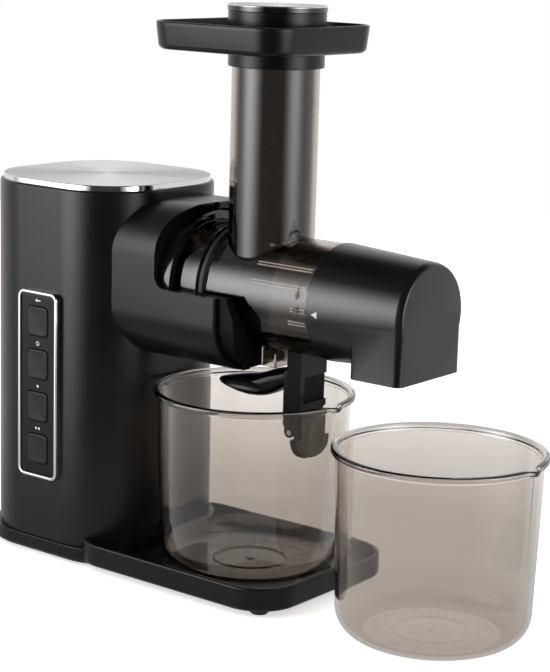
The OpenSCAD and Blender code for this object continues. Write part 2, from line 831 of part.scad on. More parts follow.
// Glossy cradle inside the arm: it fills the space around the drum, ends in a slanted nose, and has a catch below.
module drum_cradle() {
    bottom = collar_mid_z - collar_half_z + arm_wall + cradle_gap;
    start = collar_end + 0.5;
    color("#0e0e0f") difference() {
        intersection() {
            union() {
                collar_shape(start, arm_end + 12, collar_half - arm_wall - cradle_gap,
                    collar_half_z - arm_wall - cradle_gap, collar_corner - arm_wall - cradle_gap);
                box([arm_end + 0.3, -21, bottom], [arm_end + 4.5, -15, bottom + 5]);
                box([arm_end + 0.3, -21, bottom - 3], [arm_end + 2.5, -15, bottom + 5]);
            }
            translate([0, 60, 0]) rotate([90, 0, 0]) linear_extrude(120) polygon([
                [start, bottom - 3], [arm_end + 5, bottom - 3], [arm_end + 5, bottom + 5], [arm_end + 8, bottom + 9],
                [arm_end + 11, axis_z - 26], [arm_end + 11.8, axis_z - 20], [arm_end + 10.8, axis_z - 11],
                [arm_end + 5.3, axis_z], [start, axis_z]]);
        }
        rod_x(cradle_in_r, start - 1, arm_end + 20);
        // hollow underneath, open to the front
        box([start + 4, -11, bottom - 4], [arm_end + 20, 11, axis_z - cradle_in_r + 2]);
    }
}

module drum_lugs() {
    for (a = [-28:120:212]) intersection() {
        tube_x(ring_in_r - 0.4, flange_r - 1, drum_start + 1.5, drum_start + 4.5);
        drum_sector(a, a + 26);
    }
}

// Clear drum: rear flange, body, mouth, feed chute, and the slot of the juice outlet.
module drum() {
    color("#6b625a", 0.5) difference() {
        union() {
            rod_x(flange_r, drum_start, seal_x);
            rod_x(drum_r, seal_x, drum_end);
            rod_x(mouth_r, drum_end, mouth_end);
            rod_z(chute_r, axis_z, chute_top, chute_x);
            drum_lugs();
            // guide below the drum, between the cradle and the juice outlet
            box([skirt_x, -skirt_w, axis_z - drum_r - skirt_h], [skirt_x + 12.5, skirt_w, axis_z]);
            // raised guide lines on the panel side: two long ones and a short one
            for (line = [[-38, 12], [-19, 12], [15.5, 39]]) translate([0, 0, axis_z]) rotate([line[0], 0, 0])
                box([chute_x + line[1], -drum_r - 0.9, -0.8], [drum_end - 1, -drum_r + 1, 0.8]);
        }
        rod_x(drum_in_r, drum_start + 3, mouth_end + 1);
        box([skirt_x + 2, -skirt_w + 2, axis_z - drum_r - skirt_h - 1], [skirt_x + 10.5, skirt_w - 2, axis_z - drum_r + 0.6]);
        rod_x(hub_r + clear, drum_start - 1, drum_start + 4);
        rod_z(chute_r - chute_wall, axis_z, chute_top + 1, chute_x);
        box([outlet_x - 3, -7, axis_z - drum_r - 2], [outlet_x + 3, 7, axis_z]);
    }
}

module drum_seal() {
    color("#101010") difference() {
        tube_x(drum_r + 2.4, drum_r + 0.05, seal_x + 0.05, seal_x + 2.4);
        rod_z(chute_r + 0.05, axis_z, chute_top, chute_x);
    }
}

// Strainer ring with slots above the juice outlet.
module strainer() {
    r_out = drum_in_r - clear;
    color("#a8aaab") difference() {
        rod_x(r_out, strainer_start, strainer_end);
        rod_x(r_out - strainer_wall, strainer_start - 1, strainer_end + 1);
        for (a = [-60:10:60]) translate([0, 0, axis_z]) rotate([a, 0, 0])
            box([strainer_start + 3, -0.5, -r_out - 1], [strainer_end - 3, 0.5, -r_out + 4]);
    }
}

// Points of the flight's four helical edges at step i.
flight_steps = 84;
function flight_ring(i) = let (
    t = i / flight_steps, a = -t * 360 * screw_turns, x = flight_start + t * (flight_end - flight_start - flight_thick),
    core = core_rear_r + (core_front_r - core_rear_r) * t - 1.5
) [for (p = [[x, core], [x + flight_thick, core], [x + flight_thick * 0.8, screw_r], [x + flight_thick * 0.2, screw_r]])
    [p[0], p[1] * cos(a), axis_z + p[1] * sin(a)]];

module flight() {
    points = [for (i = [0:flight_steps]) each flight_ring(i)];
    faces = concat([[3, 2, 1, 0]],
        [for (i = [0:flight_steps - 1], k = [0:3]) each let (a = 4 * i + k, b = 4 * i + (k + 1) % 4)
            [[a, b, b + 4], [a, b + 4, a + 4]]],
        [[for (k = [0:3]) 4 * flight_steps + k]]);
    polyhedron(points = points, faces = faces, convexity = 6);
}

// Screw: tapered core, helical flight and a rear hub with the hex socket.
module screw() {
    color("#2a2a2c") difference() {
        union() {
            rod_x(hub_r, drum_start - 4, flight_start);
            rod_x(core_rear_r, flight_start - 2, flight_end, r2 = core_front_r);
            flight();
        }
        translate([drum_start - 5, 0, axis_z]) rotate([0, 90, 0])
            cylinder(h = hex_end - drum_start + 6, r = hex_r + 0.2, $fn = 6);
        rod_x(pin_r + seat, flight_end - 14, flight_end + 1);
    }
}

module screw_pin() {
    color("#c4c7ca") rod_x(pin_r, flight_end - 14, bush_start + 12);
}

module screw_seal() {
    color("#b9b4aa") tube_x(hub_r + 4, hub_r + 0.1, drum_start - 2.4, drum_start - 0.3);
}

// ---- juice outlet ----

// Block under the drum that leads the juice down, with two ears for the lever.
module outlet_block() {
    x0 = outlet_x - outlet_thick / 2;
    x1 = outlet_x + outlet_thick / 2;
    color("#0e0e0f") difference() {
        union() {
            box([x0, -outlet_half, outlet_bottom], [x1, outlet_half, axis_z - drum_r + 3]);
            box([x0, -ear_in + 0.3, outlet_bottom - nozzle_drop], [x1, ear_in - 0.3, outlet_bottom + 1]);
            for (sy = [-1, 1]) {
                box([hinge_x - ear_r, min(sy * ear_in, sy * outlet_half), hinge_z],
                    [hinge_x + ear_r, max(sy * ear_in, sy * outlet_half), outlet_bottom + 1]);
                rod_y(ear_r, min(sy * ear_in, sy * outlet_half), max(sy * ear_in, sy * outlet_half), hinge_x, hinge_z);
            }
        }
        rod_x(drum_r + 0.05, x0 - 1, x1 + 1);
        box([outlet_x - 3, -7, 0], [outlet_x + 3, 7, axis_z]);
        rod_y(hinge_pin_r + seat, -outlet_half - 1, outlet_half + 1, hinge_x, hinge_z);
        // shallow window in the front face, open towards the far side
        box([x1 - 1.4, -8.6, outlet_bottom + 4], [x1 + 1, outlet_half + 1, outlet_bottom + 19.5]);
    }
}

// Outline of the stopper: round below its shoulder, narrow between the ears above it.
module stopper(r, x0, x1, top) {
    intersection() {
        rod_x(r, x0, x1, 0, stopper_z);
        box([x0, -r, 0], [x1, r, shoulder_z]);
    }
    box([x0, -hub_half, shoulder_z - 1], [x1, hub_half, top]);
}

// Lever: hub on the hinge pin, round stopper body below, stem and spoon-shaped paddle behind.
module lever() {
    color("#0e0e0f") difference() {
        union() {
            rod_y(ear_r, -hub_half, hub_half, hinge_x, hinge_z);
            stopper(stopper_r - 2.6, hinge_x + 1.5, hinge_x + 5, hinge_z + 3);
            stopper(stopper_r - 4.6, hinge_x + 4, stopper_front - pad_thick, hinge_z + 2);
            box([hinge_x - 7.4, -8.6, hinge_z - 2], [hinge_x - 3.2, 8.6, hinge_z + 33]);
            box([hinge_x - 7.4, -8.6, hinge_z - 2], [hinge_x, 8.6, hinge_z + 2]);
            hull() {
                translate([hinge_x - 6.4, 0, hinge_z + 31.5]) scale([1, 2, 1]) sphere(r = 4, $fn = 32);
                translate([hinge_x - 19, 0, hinge_z + 24]) scale([1, 2, 1]) sphere(r = 4.2, $fn = 32);
            }
            hull() {
                translate([hinge_x - 19, 0, hinge_z + 24]) scale([1, 2, 1]) sphere(r = 4.2, $fn = 32);
                translate([hinge_x - 29, 0, hinge_z + 20]) scale([2, 2.4, 1]) sphere(r = 4.6, $fn = 32);
                translate([hinge_x - paddle_len + 1.2, 0, hinge_z + 21.6]) scale([1.2, 2.2, 0.6]) sphere(r = 3.4, $fn = 32);
            }
        }
        rod_y(hinge_pin_r + run, -outlet_half, outlet_half, hinge_x, hinge_z);
    }
}

module lever_pin() {
    color("#b9bcbf") rod_y(hinge_pin_r, -outlet_half, outlet_half, hinge_x, hinge_z);
}

// Soft disc on the stopper, with a shallow hollow in its face.
module lever_pad() {
    color("#3b3b3d") difference() {
        intersection() {
            stopper(stopper_r, stopper_front - pad_thick, stopper_front, hinge_z);
            rod_y(pad_reach, -stopper_r, stopper_r, hinge_x, hinge_z);
        }
        rod_x(7.6, stopper_front - 1, stopper_front + 1, 0, stopper_z);
    }
}

// ---- end cap ----

module end_bush() {
    color("#d9d4c7") difference() {
        union() {
            rod_x(8.4, bush_start, bush_start + 1.5);
            rod_x(6.2, bush_start + 1.5, bush_start + bush_len);
        }
        rod_x(pin_r + run, bush_start - 1, bush_start + 13);
    }
}

// Cap over the drum's mouth, with the pulp spout that opens downwards.
module end_cap() {
    spout_x0 = cap_stop - spout_len;
    slope = (cap_r - cap_end_r) / cap_len;
    cavity_x = cap_start + mouth_len + 1;
    color("#1c1c1d") difference() {
        union() {
            difference() {
                union() {
                    rod_x(cap_r, cap_start, cap_stop, r2 = cap_end_r);
                    box([spout_x0, -spout_half, axis_z - spout_drop], [cap_stop, spout_half, axis_z]);
                }
                rod_x(cap_bore_r, cap_start - 1, cavity_x);
                rod_x(cap_r - cap_wall - slope * (mouth_len + 1), cavity_x - 0.01, cap_stop - cap_wall,
                    r2 = cap_end_r - cap_wall);
                box([spout_x0 + cap_wall, -spout_half + cap_wall, axis_z - spout_drop - 1],
                    [cap_stop - cap_wall, spout_half - cap_wall, axis_z]);
            }
            rod_x(8.4, bush_start + 1.5 + 0.1, cap_stop - 1);
        }
        rod_x(6.2 + run, bush_start, bush_start + bush_len + 0.5);
    }
}

module cap_seal() {
    x0 = cap_start + mouth_len - 0.1;
    color("#3b3b3d") tube_x(mouth_r - 0.2, drum_in_r + 0.4, x0 + 0.1, x0 + 1.1);
}

// ---- feed tray and pusher ----

module feed_tray() {
    color("#1c1c1d") difference() {
        union() {
            translate([feed_x, 0, 0]) difference() {
                prism(feed_half, feed_half, feed_corner, feed_floor, feed_top);
                prism(feed_half - feed_wall, feed_half - feed_wall, feed_corner - feed_wall,
                    feed_floor + feed_wall, feed_top + 1);
            }
            rod_z(sleeve_r, chute_top - 8, feed_floor + feed_wall, chute_x);
        }
        rod_z(chute_r + clear, chute_top - 9, feed_floor, chute_x);
        rod_z(chute_r - chute_wall, chute_top - 9, feed_top, chute_x);
    }
}

module pusher() {
    color("#1a1a1b") difference() {
        union() {
            rod_z(pusher_r, pusher_tip, pusher_seat, chute_x);
            rod_z(pusher_head_r, pusher_seat, pusher_seat + pusher_head_h, chute_x);
        }
        rod_z(pusher_r - 2.2, pusher_tip + 3, pusher_seat + pusher_head_h - 3, chute_x);
    }
}

module pusher_disc() {
    z0 = pusher_seat + pusher_head_h;
    color("#c9cbcd") rod_z(pusher_head_r + 0.5, z0, z0 + pusher_disc, chute_x);
}

// ---- beakers ----

function arc(cx, cz, r, a0, a1, n) = [for (i = [0:n]) let (a = a0 + (a1 - a0) * i / n) [cx + r * cos(a), cz + r * sin(a)]];

// Half section of a beaker: foot corner, slightly flared wall and rim bead.
function jug_section() = let (
    c = 16, ci = c - jug_wall, wall_top = jug_h - 4.3, neck_r = jug_r - 2.6
) concat(
    [[0, 0]], arc(jug_foot_r - c, c, c, -90, 0, 8), [[neck_r, wall_top], [jug_r, wall_top + 1.2]],
    arc(jug_r - 1.4, jug_h - 1.4, 1.4, 0, 90, 4), [[neck_r - jug_wall + 0.6, jug_h], [neck_r - jug_wall, wall_top]],
    arc(jug_foot_r - c, c, ci, 0, -90, 8), [[0, jug_wall]]
);

module beaker(x, y, z) {
    translate([x, y, z]) difference() {
        union() {
            rotate_extrude() polygon(jug_section());
            difference() {
                translate([lip_x, 0, jug_h - 15]) cylinder(h = 15, r1 = 0.6, r2 = lip_r);
                translate([0, 0, -1]) cylinder(h = jug_h + 2, r = jug_r - 4.4);
            }
            translate([0, 0, jug_wall - 0.1]) difference() {
                cylinder(h = 0.7, r = 21.7);
                translate([0, 0, -1]) cylinder(h = 3, r = 20.9);
            }
            translate([0, 0, jug_wall - 0.1]) cylinder(h = 0.8, r = 1.6);
        }
        translate([lip_x, 0, jug_h - 13]) cylinder(h = 13.1, r1 = 0.2, r2 = lip_r - 2);
    }
}

module jug() {
    color("#8c8178", 0.45) beaker(jug_x, 0, tray_floor);
}

module spare_jug() {
    color("#8c8178", 0.45) beaker(spare_x, -spare_shift, 0);
}

// ---- drawing ----

place() base();
place() bottom_plate();
place() feet();
place() base_screws();
place() housing();
place() lid();
place() cord_inlet();
place() bezel();
place() fascia();
place() button_1();
place() button_2();
place() button_3();
place() button_4();
place() tact_switches();
place() switch_board();
place() motor_can();
place() motor_front_bell();
place() motor_rear_bell();
place() rotor();
place() motor_pinion();
place() fan();
place() frame_rear();
place() frame_front();
place() frame_screws();
place() idler_gear();
place() idler_axle();
place() output_gear();
place() output_shaft();
place() ball_bearing();
place() shaft_seal();
place() control_board();
place() control_parts();
place() collar();
place() collar_screws();
place() bayonet_ring();
place() drum_cradle();
place() drum();
place() drum_seal();
place() strainer();
place() screw();
place() screw_pin();
place() screw_seal();
place() outlet_block();
place() lever();
place() lever_pin();
place() lever_pad();
place() end_bush();
place() end_cap();
place() cap_seal();
place() feed_tray();
place() pusher();
place() pusher_disc();
place() jug();
place() spare_jug();
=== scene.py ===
import math

import bmesh
import bpy
from bpy.props import FloatProperty, FloatVectorProperty, PointerProperty, StringProperty
from mathutils import Matrix, Vector


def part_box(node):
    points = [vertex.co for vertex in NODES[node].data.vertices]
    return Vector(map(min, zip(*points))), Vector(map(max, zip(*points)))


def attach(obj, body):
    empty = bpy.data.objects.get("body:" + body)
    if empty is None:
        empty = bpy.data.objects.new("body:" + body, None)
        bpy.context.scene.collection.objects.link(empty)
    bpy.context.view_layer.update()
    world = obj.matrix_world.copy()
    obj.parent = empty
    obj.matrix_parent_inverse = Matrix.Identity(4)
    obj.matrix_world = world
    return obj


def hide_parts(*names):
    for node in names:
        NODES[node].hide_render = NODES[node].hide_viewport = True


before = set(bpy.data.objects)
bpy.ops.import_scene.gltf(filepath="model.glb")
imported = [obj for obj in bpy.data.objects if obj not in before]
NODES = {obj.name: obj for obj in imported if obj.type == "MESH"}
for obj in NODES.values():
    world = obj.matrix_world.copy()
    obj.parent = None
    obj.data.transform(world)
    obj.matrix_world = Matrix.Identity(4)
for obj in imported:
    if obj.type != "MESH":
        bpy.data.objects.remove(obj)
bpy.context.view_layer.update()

bl_info = {
    "name": "Slow juicer looks",
    "version": (1, 0, 0),
    "blender": (4, 5, 0),
    "location": "View3D > Sidebar > Juicer",
    "description": "Builds the visible pieces, finishes and studio of a horizontal slow juicer",
    "category": "Object",
}

# Edges sharper than these, in degrees, stay sharp in smooth shading and are rounded by a bevel.
SMOOTH_ANGLE = 32
BEVEL_ANGLE = 38

# Radii and places that several pieces share, in millimetres from the column's axis.
DRUM_RADIUS = 33.4
CHUTE_X = 129.5
CAP_RIM_RADIUS, CAP_TIP_RADIUS = 34.0, 30.2


def centre_of(node):
    """Middle of a CAD node, in millimetres."""
    low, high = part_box(node)
    return (low + high) * 500


# The column's axis is where every horizontal distance starts from, as in the CAD source.
COLUMN = centre_of("housing")


def at(x, y, z):
    """A point given from the column's axis, in millimetres, as a point of the scene."""
    return Vector((x + COLUMN.x, y + COLUMN.y, z)) / 1000


def from_column(node):
    """Lowest and highest corner of a CAD node from the column's axis, in millimetres."""
    low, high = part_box(node)
    shift = Vector((COLUMN.x, COLUMN.y, 0))
    return low * 1000 - shift, high * 1000 - shift


def middle_and_half(node):
    """Middle and half size of a CAD node, in millimetres, the middle from the column's axis."""
    low, high = from_column(node)
    return (low + high) / 2, (high - low) / 2


# ---------------------------------------------------------------- outlines


def arc(cx, cy, r, a0, a1, steps):
    """Points of an arc in degrees."""
    points = []
    for i in range(steps + 1):
        a = math.radians(a0 + (a1 - a0) * i / steps)
        points.append((cx + r * math.cos(a), cy + r * math.sin(a)))
    return points


def circle(r, steps=96):
    """Points of a circle around the origin."""
    return arc(0, 0, r, 0, 360, steps)[:-1]


def rounded_rect(half_x, half_y, r, steps):
    """Rounded rectangle, counter-clockwise, with the same number of points for any size."""
    r = max(0.05, min(r, half_x - 0.01, half_y - 0.01))
    points = []
    for sx, sy, a in ((1, 1, 0), (-1, 1, 90), (-1, -1, 180), (1, -1, 270)):
        points += arc(sx * (half_x - r), sy * (half_y - r), r, a, a + 90, steps)
    return points


def plan(half_x, half_y, corner, steps=16, ease=1.0):
    """Outline for stack(): a rounded rectangle that an inset shrinks.

    Its corners tighten by ease times the inset."""
    def outline(inset):
        return rounded_rect(half_x - inset, half_y - inset, corner - inset * ease, steps)
    return outline


def fillet(path, steps=5, closed=False):
    """Rounds the corners of a path of (u, v, radius) points."""
    out = []
    count = len(path)
    for i, (u, v, r) in enumerate(path):
        if r <= 0 or (not closed and i in (0, count - 1)):
            out.append((u, v))
            continue
        here = Vector((u, v))
        before = Vector(path[i - 1][:2]) - here
        after = Vector(path[(i + 1) % count][:2]) - here
        half = before.angle(after) / 2
        # A radius that doesn't fit between its neighbours is made smaller.
        reach = min(r / math.tan(half), before.length * 0.49, after.length * 0.49)
        radius = reach * math.tan(half)
        start = here + before.normalized() * reach
        end = here + after.normalized() * reach
        inward = (before.normalized() + after.normalized()).normalized()
        middle = here + inward * (radius / math.sin(half))
        a, b = start - middle, end - middle
        turn = a.angle_signed(b)
        for k in range(steps + 1):
            t = -turn * k / steps
            out.append((middle.x + a.x * math.cos(t) - a.y * math.sin(t),
                        middle.y + a.x * math.sin(t) + a.y * math.cos(t)))
    return out


# ---------------------------------------------------------------- bodies


def new_object(name, verts, faces):
    """Mesh object in the scene."""
    mesh = bpy.data.meshes.new(name)
    mesh.from_pydata([tuple(v) for v in verts], [], faces)
    obj = bpy.data.objects.new(name, mesh)
    bpy.context.scene.collection.objects.link(obj)
    return obj


def mark_smooth(bm):
    """Shades a mesh smooth except over its sharp edges."""
    limit = math.radians(SMOOTH_ANGLE)
    for face in bm.faces:
        face.smooth = True
    for edge in bm.edges:
        edge.smooth = len(edge.link_faces) == 2 and edge.calc_face_angle(0) < limit


def clean_mesh(obj):
    """Joins doubled points, makes faces look outwards and shades them."""
    bm = bmesh.new()
    bm.from_mesh(obj.data)
    bmesh.ops.remove_doubles(bm, verts=bm.verts, dist=1e-7)
    bmesh.ops.recalc_face_normals(bm, faces=bm.faces)
    mark_smooth(bm)
    bm.to_mesh(obj.data)
    bm.free()


def loft(name, rings, closed=False):
    """Skin over rings of points. A closed loft joins last ring to first, an open one gets end caps."""
    count = len(rings[0])
    verts = [p for ring in rings for p in ring]
    faces = []
    rows = len(rings) if closed else len(rings) - 1
    for i in range(rows):
        a, b = i * count, ((i + 1) % len(rings)) * count
        for k in range(count):
            n = (k + 1) % count
            faces.append((a + k, a + n, b + n, b + k))
    if not closed:
        faces.append(tuple(reversed(range(count))))
        faces.append(tuple(range((len(rings) - 1) * count, len(rings) * count)))
    obj = new_object(name, verts, faces)
    clean_mesh(obj)
    return obj


def stack(name, outline, profile, cx=0.0, cy=0.0):
    """Body along Z. outline(inset) gives a ring of (x, y), and profile is a list of (inset, z)."""
    return loft(name, [[at(x + cx, y + cy, z) for x, y in outline(inset)] for inset, z in profile])


def turned(name, profile, axis="Z", centre=(0, 0, 0), closed=False, steps=96):
    """Body of revolution around Z or X. profile is a list of (radius, place along the axis)."""
    rings = []
    for r, h in profile:
        ring = []
        for u, v in circle(max(r, 0.01), steps):
            if axis == "Z":
                ring.append(at(centre[0] + u, centre[1] + v, centre[2] + h))
            else:
                ring.append(at(centre[0] + h, centre[1] + u, centre[2] + v))
        rings.append(ring)
    return loft(name, rings, closed)


def rod_y(name, r, y0, y1, x, z, steps=48):
    """Rod across the object."""
    return loft(name, [[at(x + u, y, z + v) for u, v in circle(r, steps)] for y in (y0, y1)])


def slab_y(name, outline, y0, y1):
    """Plate across the object, from an outline of (x, z)."""
    return loft(name, [[at(x, y, z) for x, z in outline] for y in (y0, y1)])


def upright(name, half_w, half_h, corner, profile, cx, cz, closed=False):
    """Body along Y with rounded corners. profile is a list of (inset, y)."""
    rings = [[at(cx + x, y, cz + z)
              for x, z in rounded_rect(half_w - inset, half_h - inset, corner - inset, 8)]
             for inset, y in profile]
    return loft(name, rings, closed)


def ellipsoid(name, centre, radii):
    """Egg shape, used to hollow others."""
    rings, steps = 24, 48
    rows = []
    for i in range(rings + 1):
        # The two poles are cut off just short, so that every row is a ring.
        a = math.pi * (0.02 + 0.96 * i / rings)
        rows.append([at(centre[0] + radii[0] * math.cos(a),
                        centre[1] + radii[1] * math.sin(a) * u,
                        centre[2] + radii[2] * math.sin(a) * v) for u, v in circle(1.0, steps)])
    return loft(name, rows)


def block(name, low, high):
    """Plain box between two corners, to cut others or to be joined to them."""
    cx, cy = (low[0] + high[0]) / 2, (low[1] + high[1]) / 2
    hx, hy = (high[0] - low[0]) / 2, (high[1] - low[1]) / 2
    square = [(-hx, -hy), (hx, -hy), (hx, hy), (-hx, hy)]
    return stack(name, lambda inset: square, [(0, low[2]), (0, high[2])], cx, cy)


def combine(target, tool, mode="DIFFERENCE"):
    """Boolean of two closed bodies; the tool is used up."""
    modifier = target.modifiers.new("combine", "BOOLEAN")
    modifier.operation = mode
    modifier.solver = "EXACT"
    modifier.object = tool
    bpy.context.view_layer.update()
    evaluated = target.evaluated_get(bpy.context.evaluated_depsgraph_get())
    result = bpy.data.meshes.new_from_object(evaluated)
    target.modifiers.clear()
    target.data = result
    bpy.data.objects.remove(tool)
    clean_mesh(target)


def soften(obj, width, segments=3):
    """Rounds the sharp edges of a body by a width in millimetres."""
    modifier = obj.modifiers.new("edge_radius", "BEVEL")
    modifier.width = width / 1000
    modifier.segments = segments
    modifier.limit_method = "ANGLE"
    modifier.angle_limit = math.radians(BEVEL_ANGLE)
    modifier.harden_normals = True
    modifier.miter_outer = "MITER_ARC"


def even_normals(obj):
    """Keeps large faces flat in shading beside their rounded edges."""
    modifier = obj.modifiers.new("even_normals", "WEIGHTED_NORMAL")
    modifier.keep_sharp = True


def finish_piece(obj, material, body, slot, *nodes):
    """Gives a piece its material or materials and its body, and hides the CAD nodes that it stands for. The
    slot is not used.
    """
    obj.data.materials.clear()
    for each in material if isinstance(material, list) else [material]:
        obj.data.materials.append(each)
    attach(obj, body)
    if nodes:
        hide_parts(*nodes)


def material_by_height(obj, *levels):
    """Faces above the first level, in mm, take material 0, those above the next material 1, and so on."""
    for face in obj.data.polygons:
        lowest = min(obj.data.vertices[v].co.z for v in face.vertices)
        face.material_index = sum(lowest <= level / 1000 for level in levels)


def dress(material, *nodes):
    """Gives CAD nodes a material and smooth shading; their shape stays."""
    for name in nodes:
        mesh = NODES[name].data
        mesh.materials.clear()
        mesh.materials.append(material)
        bm = bmesh.new()
        bm.from_mesh(mesh)
        mark_smooth(bm)
        for face in bm.faces:
            face.material_index = 0
        bm.to_mesh(mesh)
        bm.free()


# ---------------------------------------------------------------- materials


def linear(code):
    """Linear colour of an sRGB hex code."""
    parts = [int(code[i:i + 2], 16) / 255 for i in (1, 3, 5)]
    return tuple(c / 12.92 if c <= 0.04045 else ((c + 0.055) / 1.055) ** 2.4 for c in parts) + (1.0,)


def add(tree, kind, values=None, links=None, **settings):
    """Adds one node with its settings, its input values and its incoming links."""
    node = tree.nodes.new(kind)
    for key, value in settings.items():
        setattr(node, key, value)
    for key, value in (values or {}).items():
        node.inputs[key].default_value = value
    for key, source in (links or {}).items():
        tree.links.new(source, node.inputs[key])
    return node


def clear_tree(owner):
    """Empty node tree of a material, world or lamp."""
    owner.use_nodes = True
    owner.node_tree.nodes.clear()
    return owner.node_tree


def start(name):
    """New material with an empty tree, and the node that gives it places on the object."""
    material = bpy.data.materials.new(name)
    tree = clear_tree(material)
    return material, tree, add(tree, "ShaderNodeTexCoord")


def surface(tree, values, links):
    """Ends a material's tree with its shader and its output."""
    shader = add(tree, "ShaderNodeBsdfPrincipled", values, links)
    add(tree, "ShaderNodeOutputMaterial", links={"Surface": shader.outputs[0]})


def per_mm(size):
    """Texture scale whose features are about this many millimetres."""
    return 1000 / size


def between(low, high, start=0.3, end=0.7):
    """Values of a Map Range node that turns start..end into low..high. Most noise lies from 0.3 to 0.7."""
    return {"From Min": start, "From Max": end, "To Min": low, "To Max": high}


def satin_abs(name, colour, dark, rough=(0.26, 0.31), grain=0.45, depth=0.012, sheen=0.32):
    """ABS, moulded in a spark-eroded tool: black, with an even satin sheen and a grain that is only felt.

    Grain is its size and depth its height, in millimetres."""
    m, t, place = start(name)
    # The real texture is about 0.1 mm; it is drawn coarser so that it shows.
    fine = add(t, "ShaderNodeTexNoise", {"Scale": per_mm(grain), "Detail": 3.0, "Roughness": 0.6},
               {"Vector": place.outputs["Object"]})
    # Slow change of sheen, a few centimetres wide, as on any large moulding.
    broad = add(t, "ShaderNodeTexNoise", {"Scale": per_mm(45), "Detail": 2.0},
                {"Vector": place.outputs["Object"]})
    tone = add(t, "ShaderNodeMix", {"A": linear(dark), "B": linear(colour)}, {"Factor": broad.outputs["Fac"]},
               data_type="RGBA")
    gloss = add(t, "ShaderNodeMapRange", between(*rough), {"Value": broad.outputs["Fac"]})
    bump = add(t, "ShaderNodeBump", {"Strength": 0.25, "Distance": depth / 1000},
               {"Height": fine.outputs["Fac"]})
    surface(t, {"IOR": 1.48, "Specular IOR Level": sheen},
            {"Base Color": tone.outputs["Result"], "Roughness": gloss.outputs["Result"],
             "Normal": bump.outputs["Normal"]})
    return m


def gloss_abs():
    """ABS from a polished tool: deep black with clear highlights and faint handling marks."""
    m, t, place = start("ABS, moulded, polished black")
    wipe = add(t, "ShaderNodeTexNoise", {"Scale": per_mm(6), "Detail": 5.0, "Distortion": 0.6},
               {"Vector": place.outputs["Object"]})
    tone = add(t, "ShaderNodeMix", {"A": linear("#090909"), "B": linear("#121213")},
               {"Factor": wipe.outputs["Fac"]}, data_type="RGBA")
    rough = add(t, "ShaderNodeMapRange", between(0.07, 0.17, 0.35, 0.75), {"Value": wipe.outputs["Fac"]})
    surface(t, {"IOR": 1.53}, {"Base Color": tone.outputs["Result"], "Roughness": rough.outputs["Result"]})
    return m


def turned_steel():
    """Stainless steel brushed on a turntable: very fine rings, and a highlight that fans from the middle.

    It needs the two maps that radial_map() makes."""
    m, t, place = start("Stainless steel, turned finish")
    radius = add(t, "ShaderNodeVectorMath", links={0: place.outputs["UV"]}, operation="LENGTH")
    rings = add(t, "ShaderNodeTexNoise", {"Scale": 1.6, "Detail": 6.0, "Roughness": 0.75},
                {"W": radius.outputs["Value"]}, noise_dimensions="1D")
    tone = add(t, "ShaderNodeMix", {"A": linear("#b4b5b6"), "B": linear("#d8d9da")},
               {"Factor": rings.outputs["Fac"]}, data_type="RGBA")
    rough = add(t, "ShaderNodeMapRange", between(0.24, 0.40), {"Value": rings.outputs["Fac"]})
    bump = add(t, "ShaderNodeBump", {"Strength": 0.2, "Distance": 0.00003}, {"Height": rings.outputs["Fac"]})
    around = add(t, "ShaderNodeTangent", direction_type="UV_MAP", uv_map="around")
    surface(t, {"Metallic": 1.0, "Anisotropic": 0.75},
            {"Base Color": tone.outputs["Result"], "Roughness": rough.outputs["Result"],
             "Normal": bump.outputs["Normal"], "Tangent": around.outputs["Tangent"]})
    return m


def plain_metal(name, low, high, rough, size):
    """Machined, pressed or plated metal: its own colour, with roughness that drifts over a few mm."""
    m, t, place = start(name)
    drift = add(t, "ShaderNodeTexNoise", {"Scale": per_mm(size), "Detail": 4.0},
                {"Vector": place.outputs["Object"]})
    tone = add(t, "ShaderNodeMix", {"A": linear(low), "B": linear(high)}, {"Factor": drift.outputs["Fac"]},
               data_type="RGBA")
    gloss = add(t, "ShaderNodeMapRange", between(*rough), {"Value": drift.outputs["Fac"]})
    surface(t, {"Metallic": 1.0},
            {"Base Color": tone.outputs["Result"], "Roughness": gloss.outputs["Result"]})
    return m


def smoky_plastic(name, tint, rough, through, foot=None):
    """Clear copolyester, tinted grey-brown, from a polished tool: dark where seen edge-on, with crisp glints.

    Light that casts shadows passes with the tint alone, as thin walls let it through in the real piece."""
    m, t, place = start(name)
    flow = add(t, "ShaderNodeTexNoise", {"Scale": per_mm(30), "Detail": 2.0},
               {"Vector": place.outputs["Object"]})
    tone = add(t, "ShaderNodeMix", {"A": linear(tint), "B": linear(through)}, {"Factor": flow.outputs["Fac"]},
               data_type="RGBA")
    gloss = add(t, "ShaderNodeMapRange", between(rough, rough + 0.03), {"Value": flow.outputs["Fac"]})
    if foot:
        # Deeper tint towards the foot: partly its thicker moulding, partly painted shade from the floor
        # beneath.
        height = add(t, "ShaderNodeSeparateXYZ", links={"Vector": place.outputs["Generated"]})
        share = add(t, "ShaderNodeMapRange", between(1.0, 0.0, 0.02, 0.26), {"Value": height.outputs["Z"]})
        tone = add(t, "ShaderNodeMix", {"B": linear(foot)},
                   {"Factor": share.outputs["Result"], "A": tone.outputs["Result"]}, data_type="RGBA")
    shader = add(t, "ShaderNodeBsdfPrincipled", {"IOR": 1.49, "Transmission Weight": 1.0},
                 {"Base Color": tone.outputs["Result"], "Roughness": gloss.outputs["Result"]})
    clear = add(t, "ShaderNodeBsdfTransparent", {"Color": linear(through)})
    path = add(t, "ShaderNodeLightPath")
    mix = add(t, "ShaderNodeMixShader",
              links={0: path.outputs["Is Shadow Ray"], 1: shader.outputs[0], 2: clear.outputs[0]})
    add(t, "ShaderNodeOutputMaterial", links={"Surface": mix.outputs[0]})
    return m


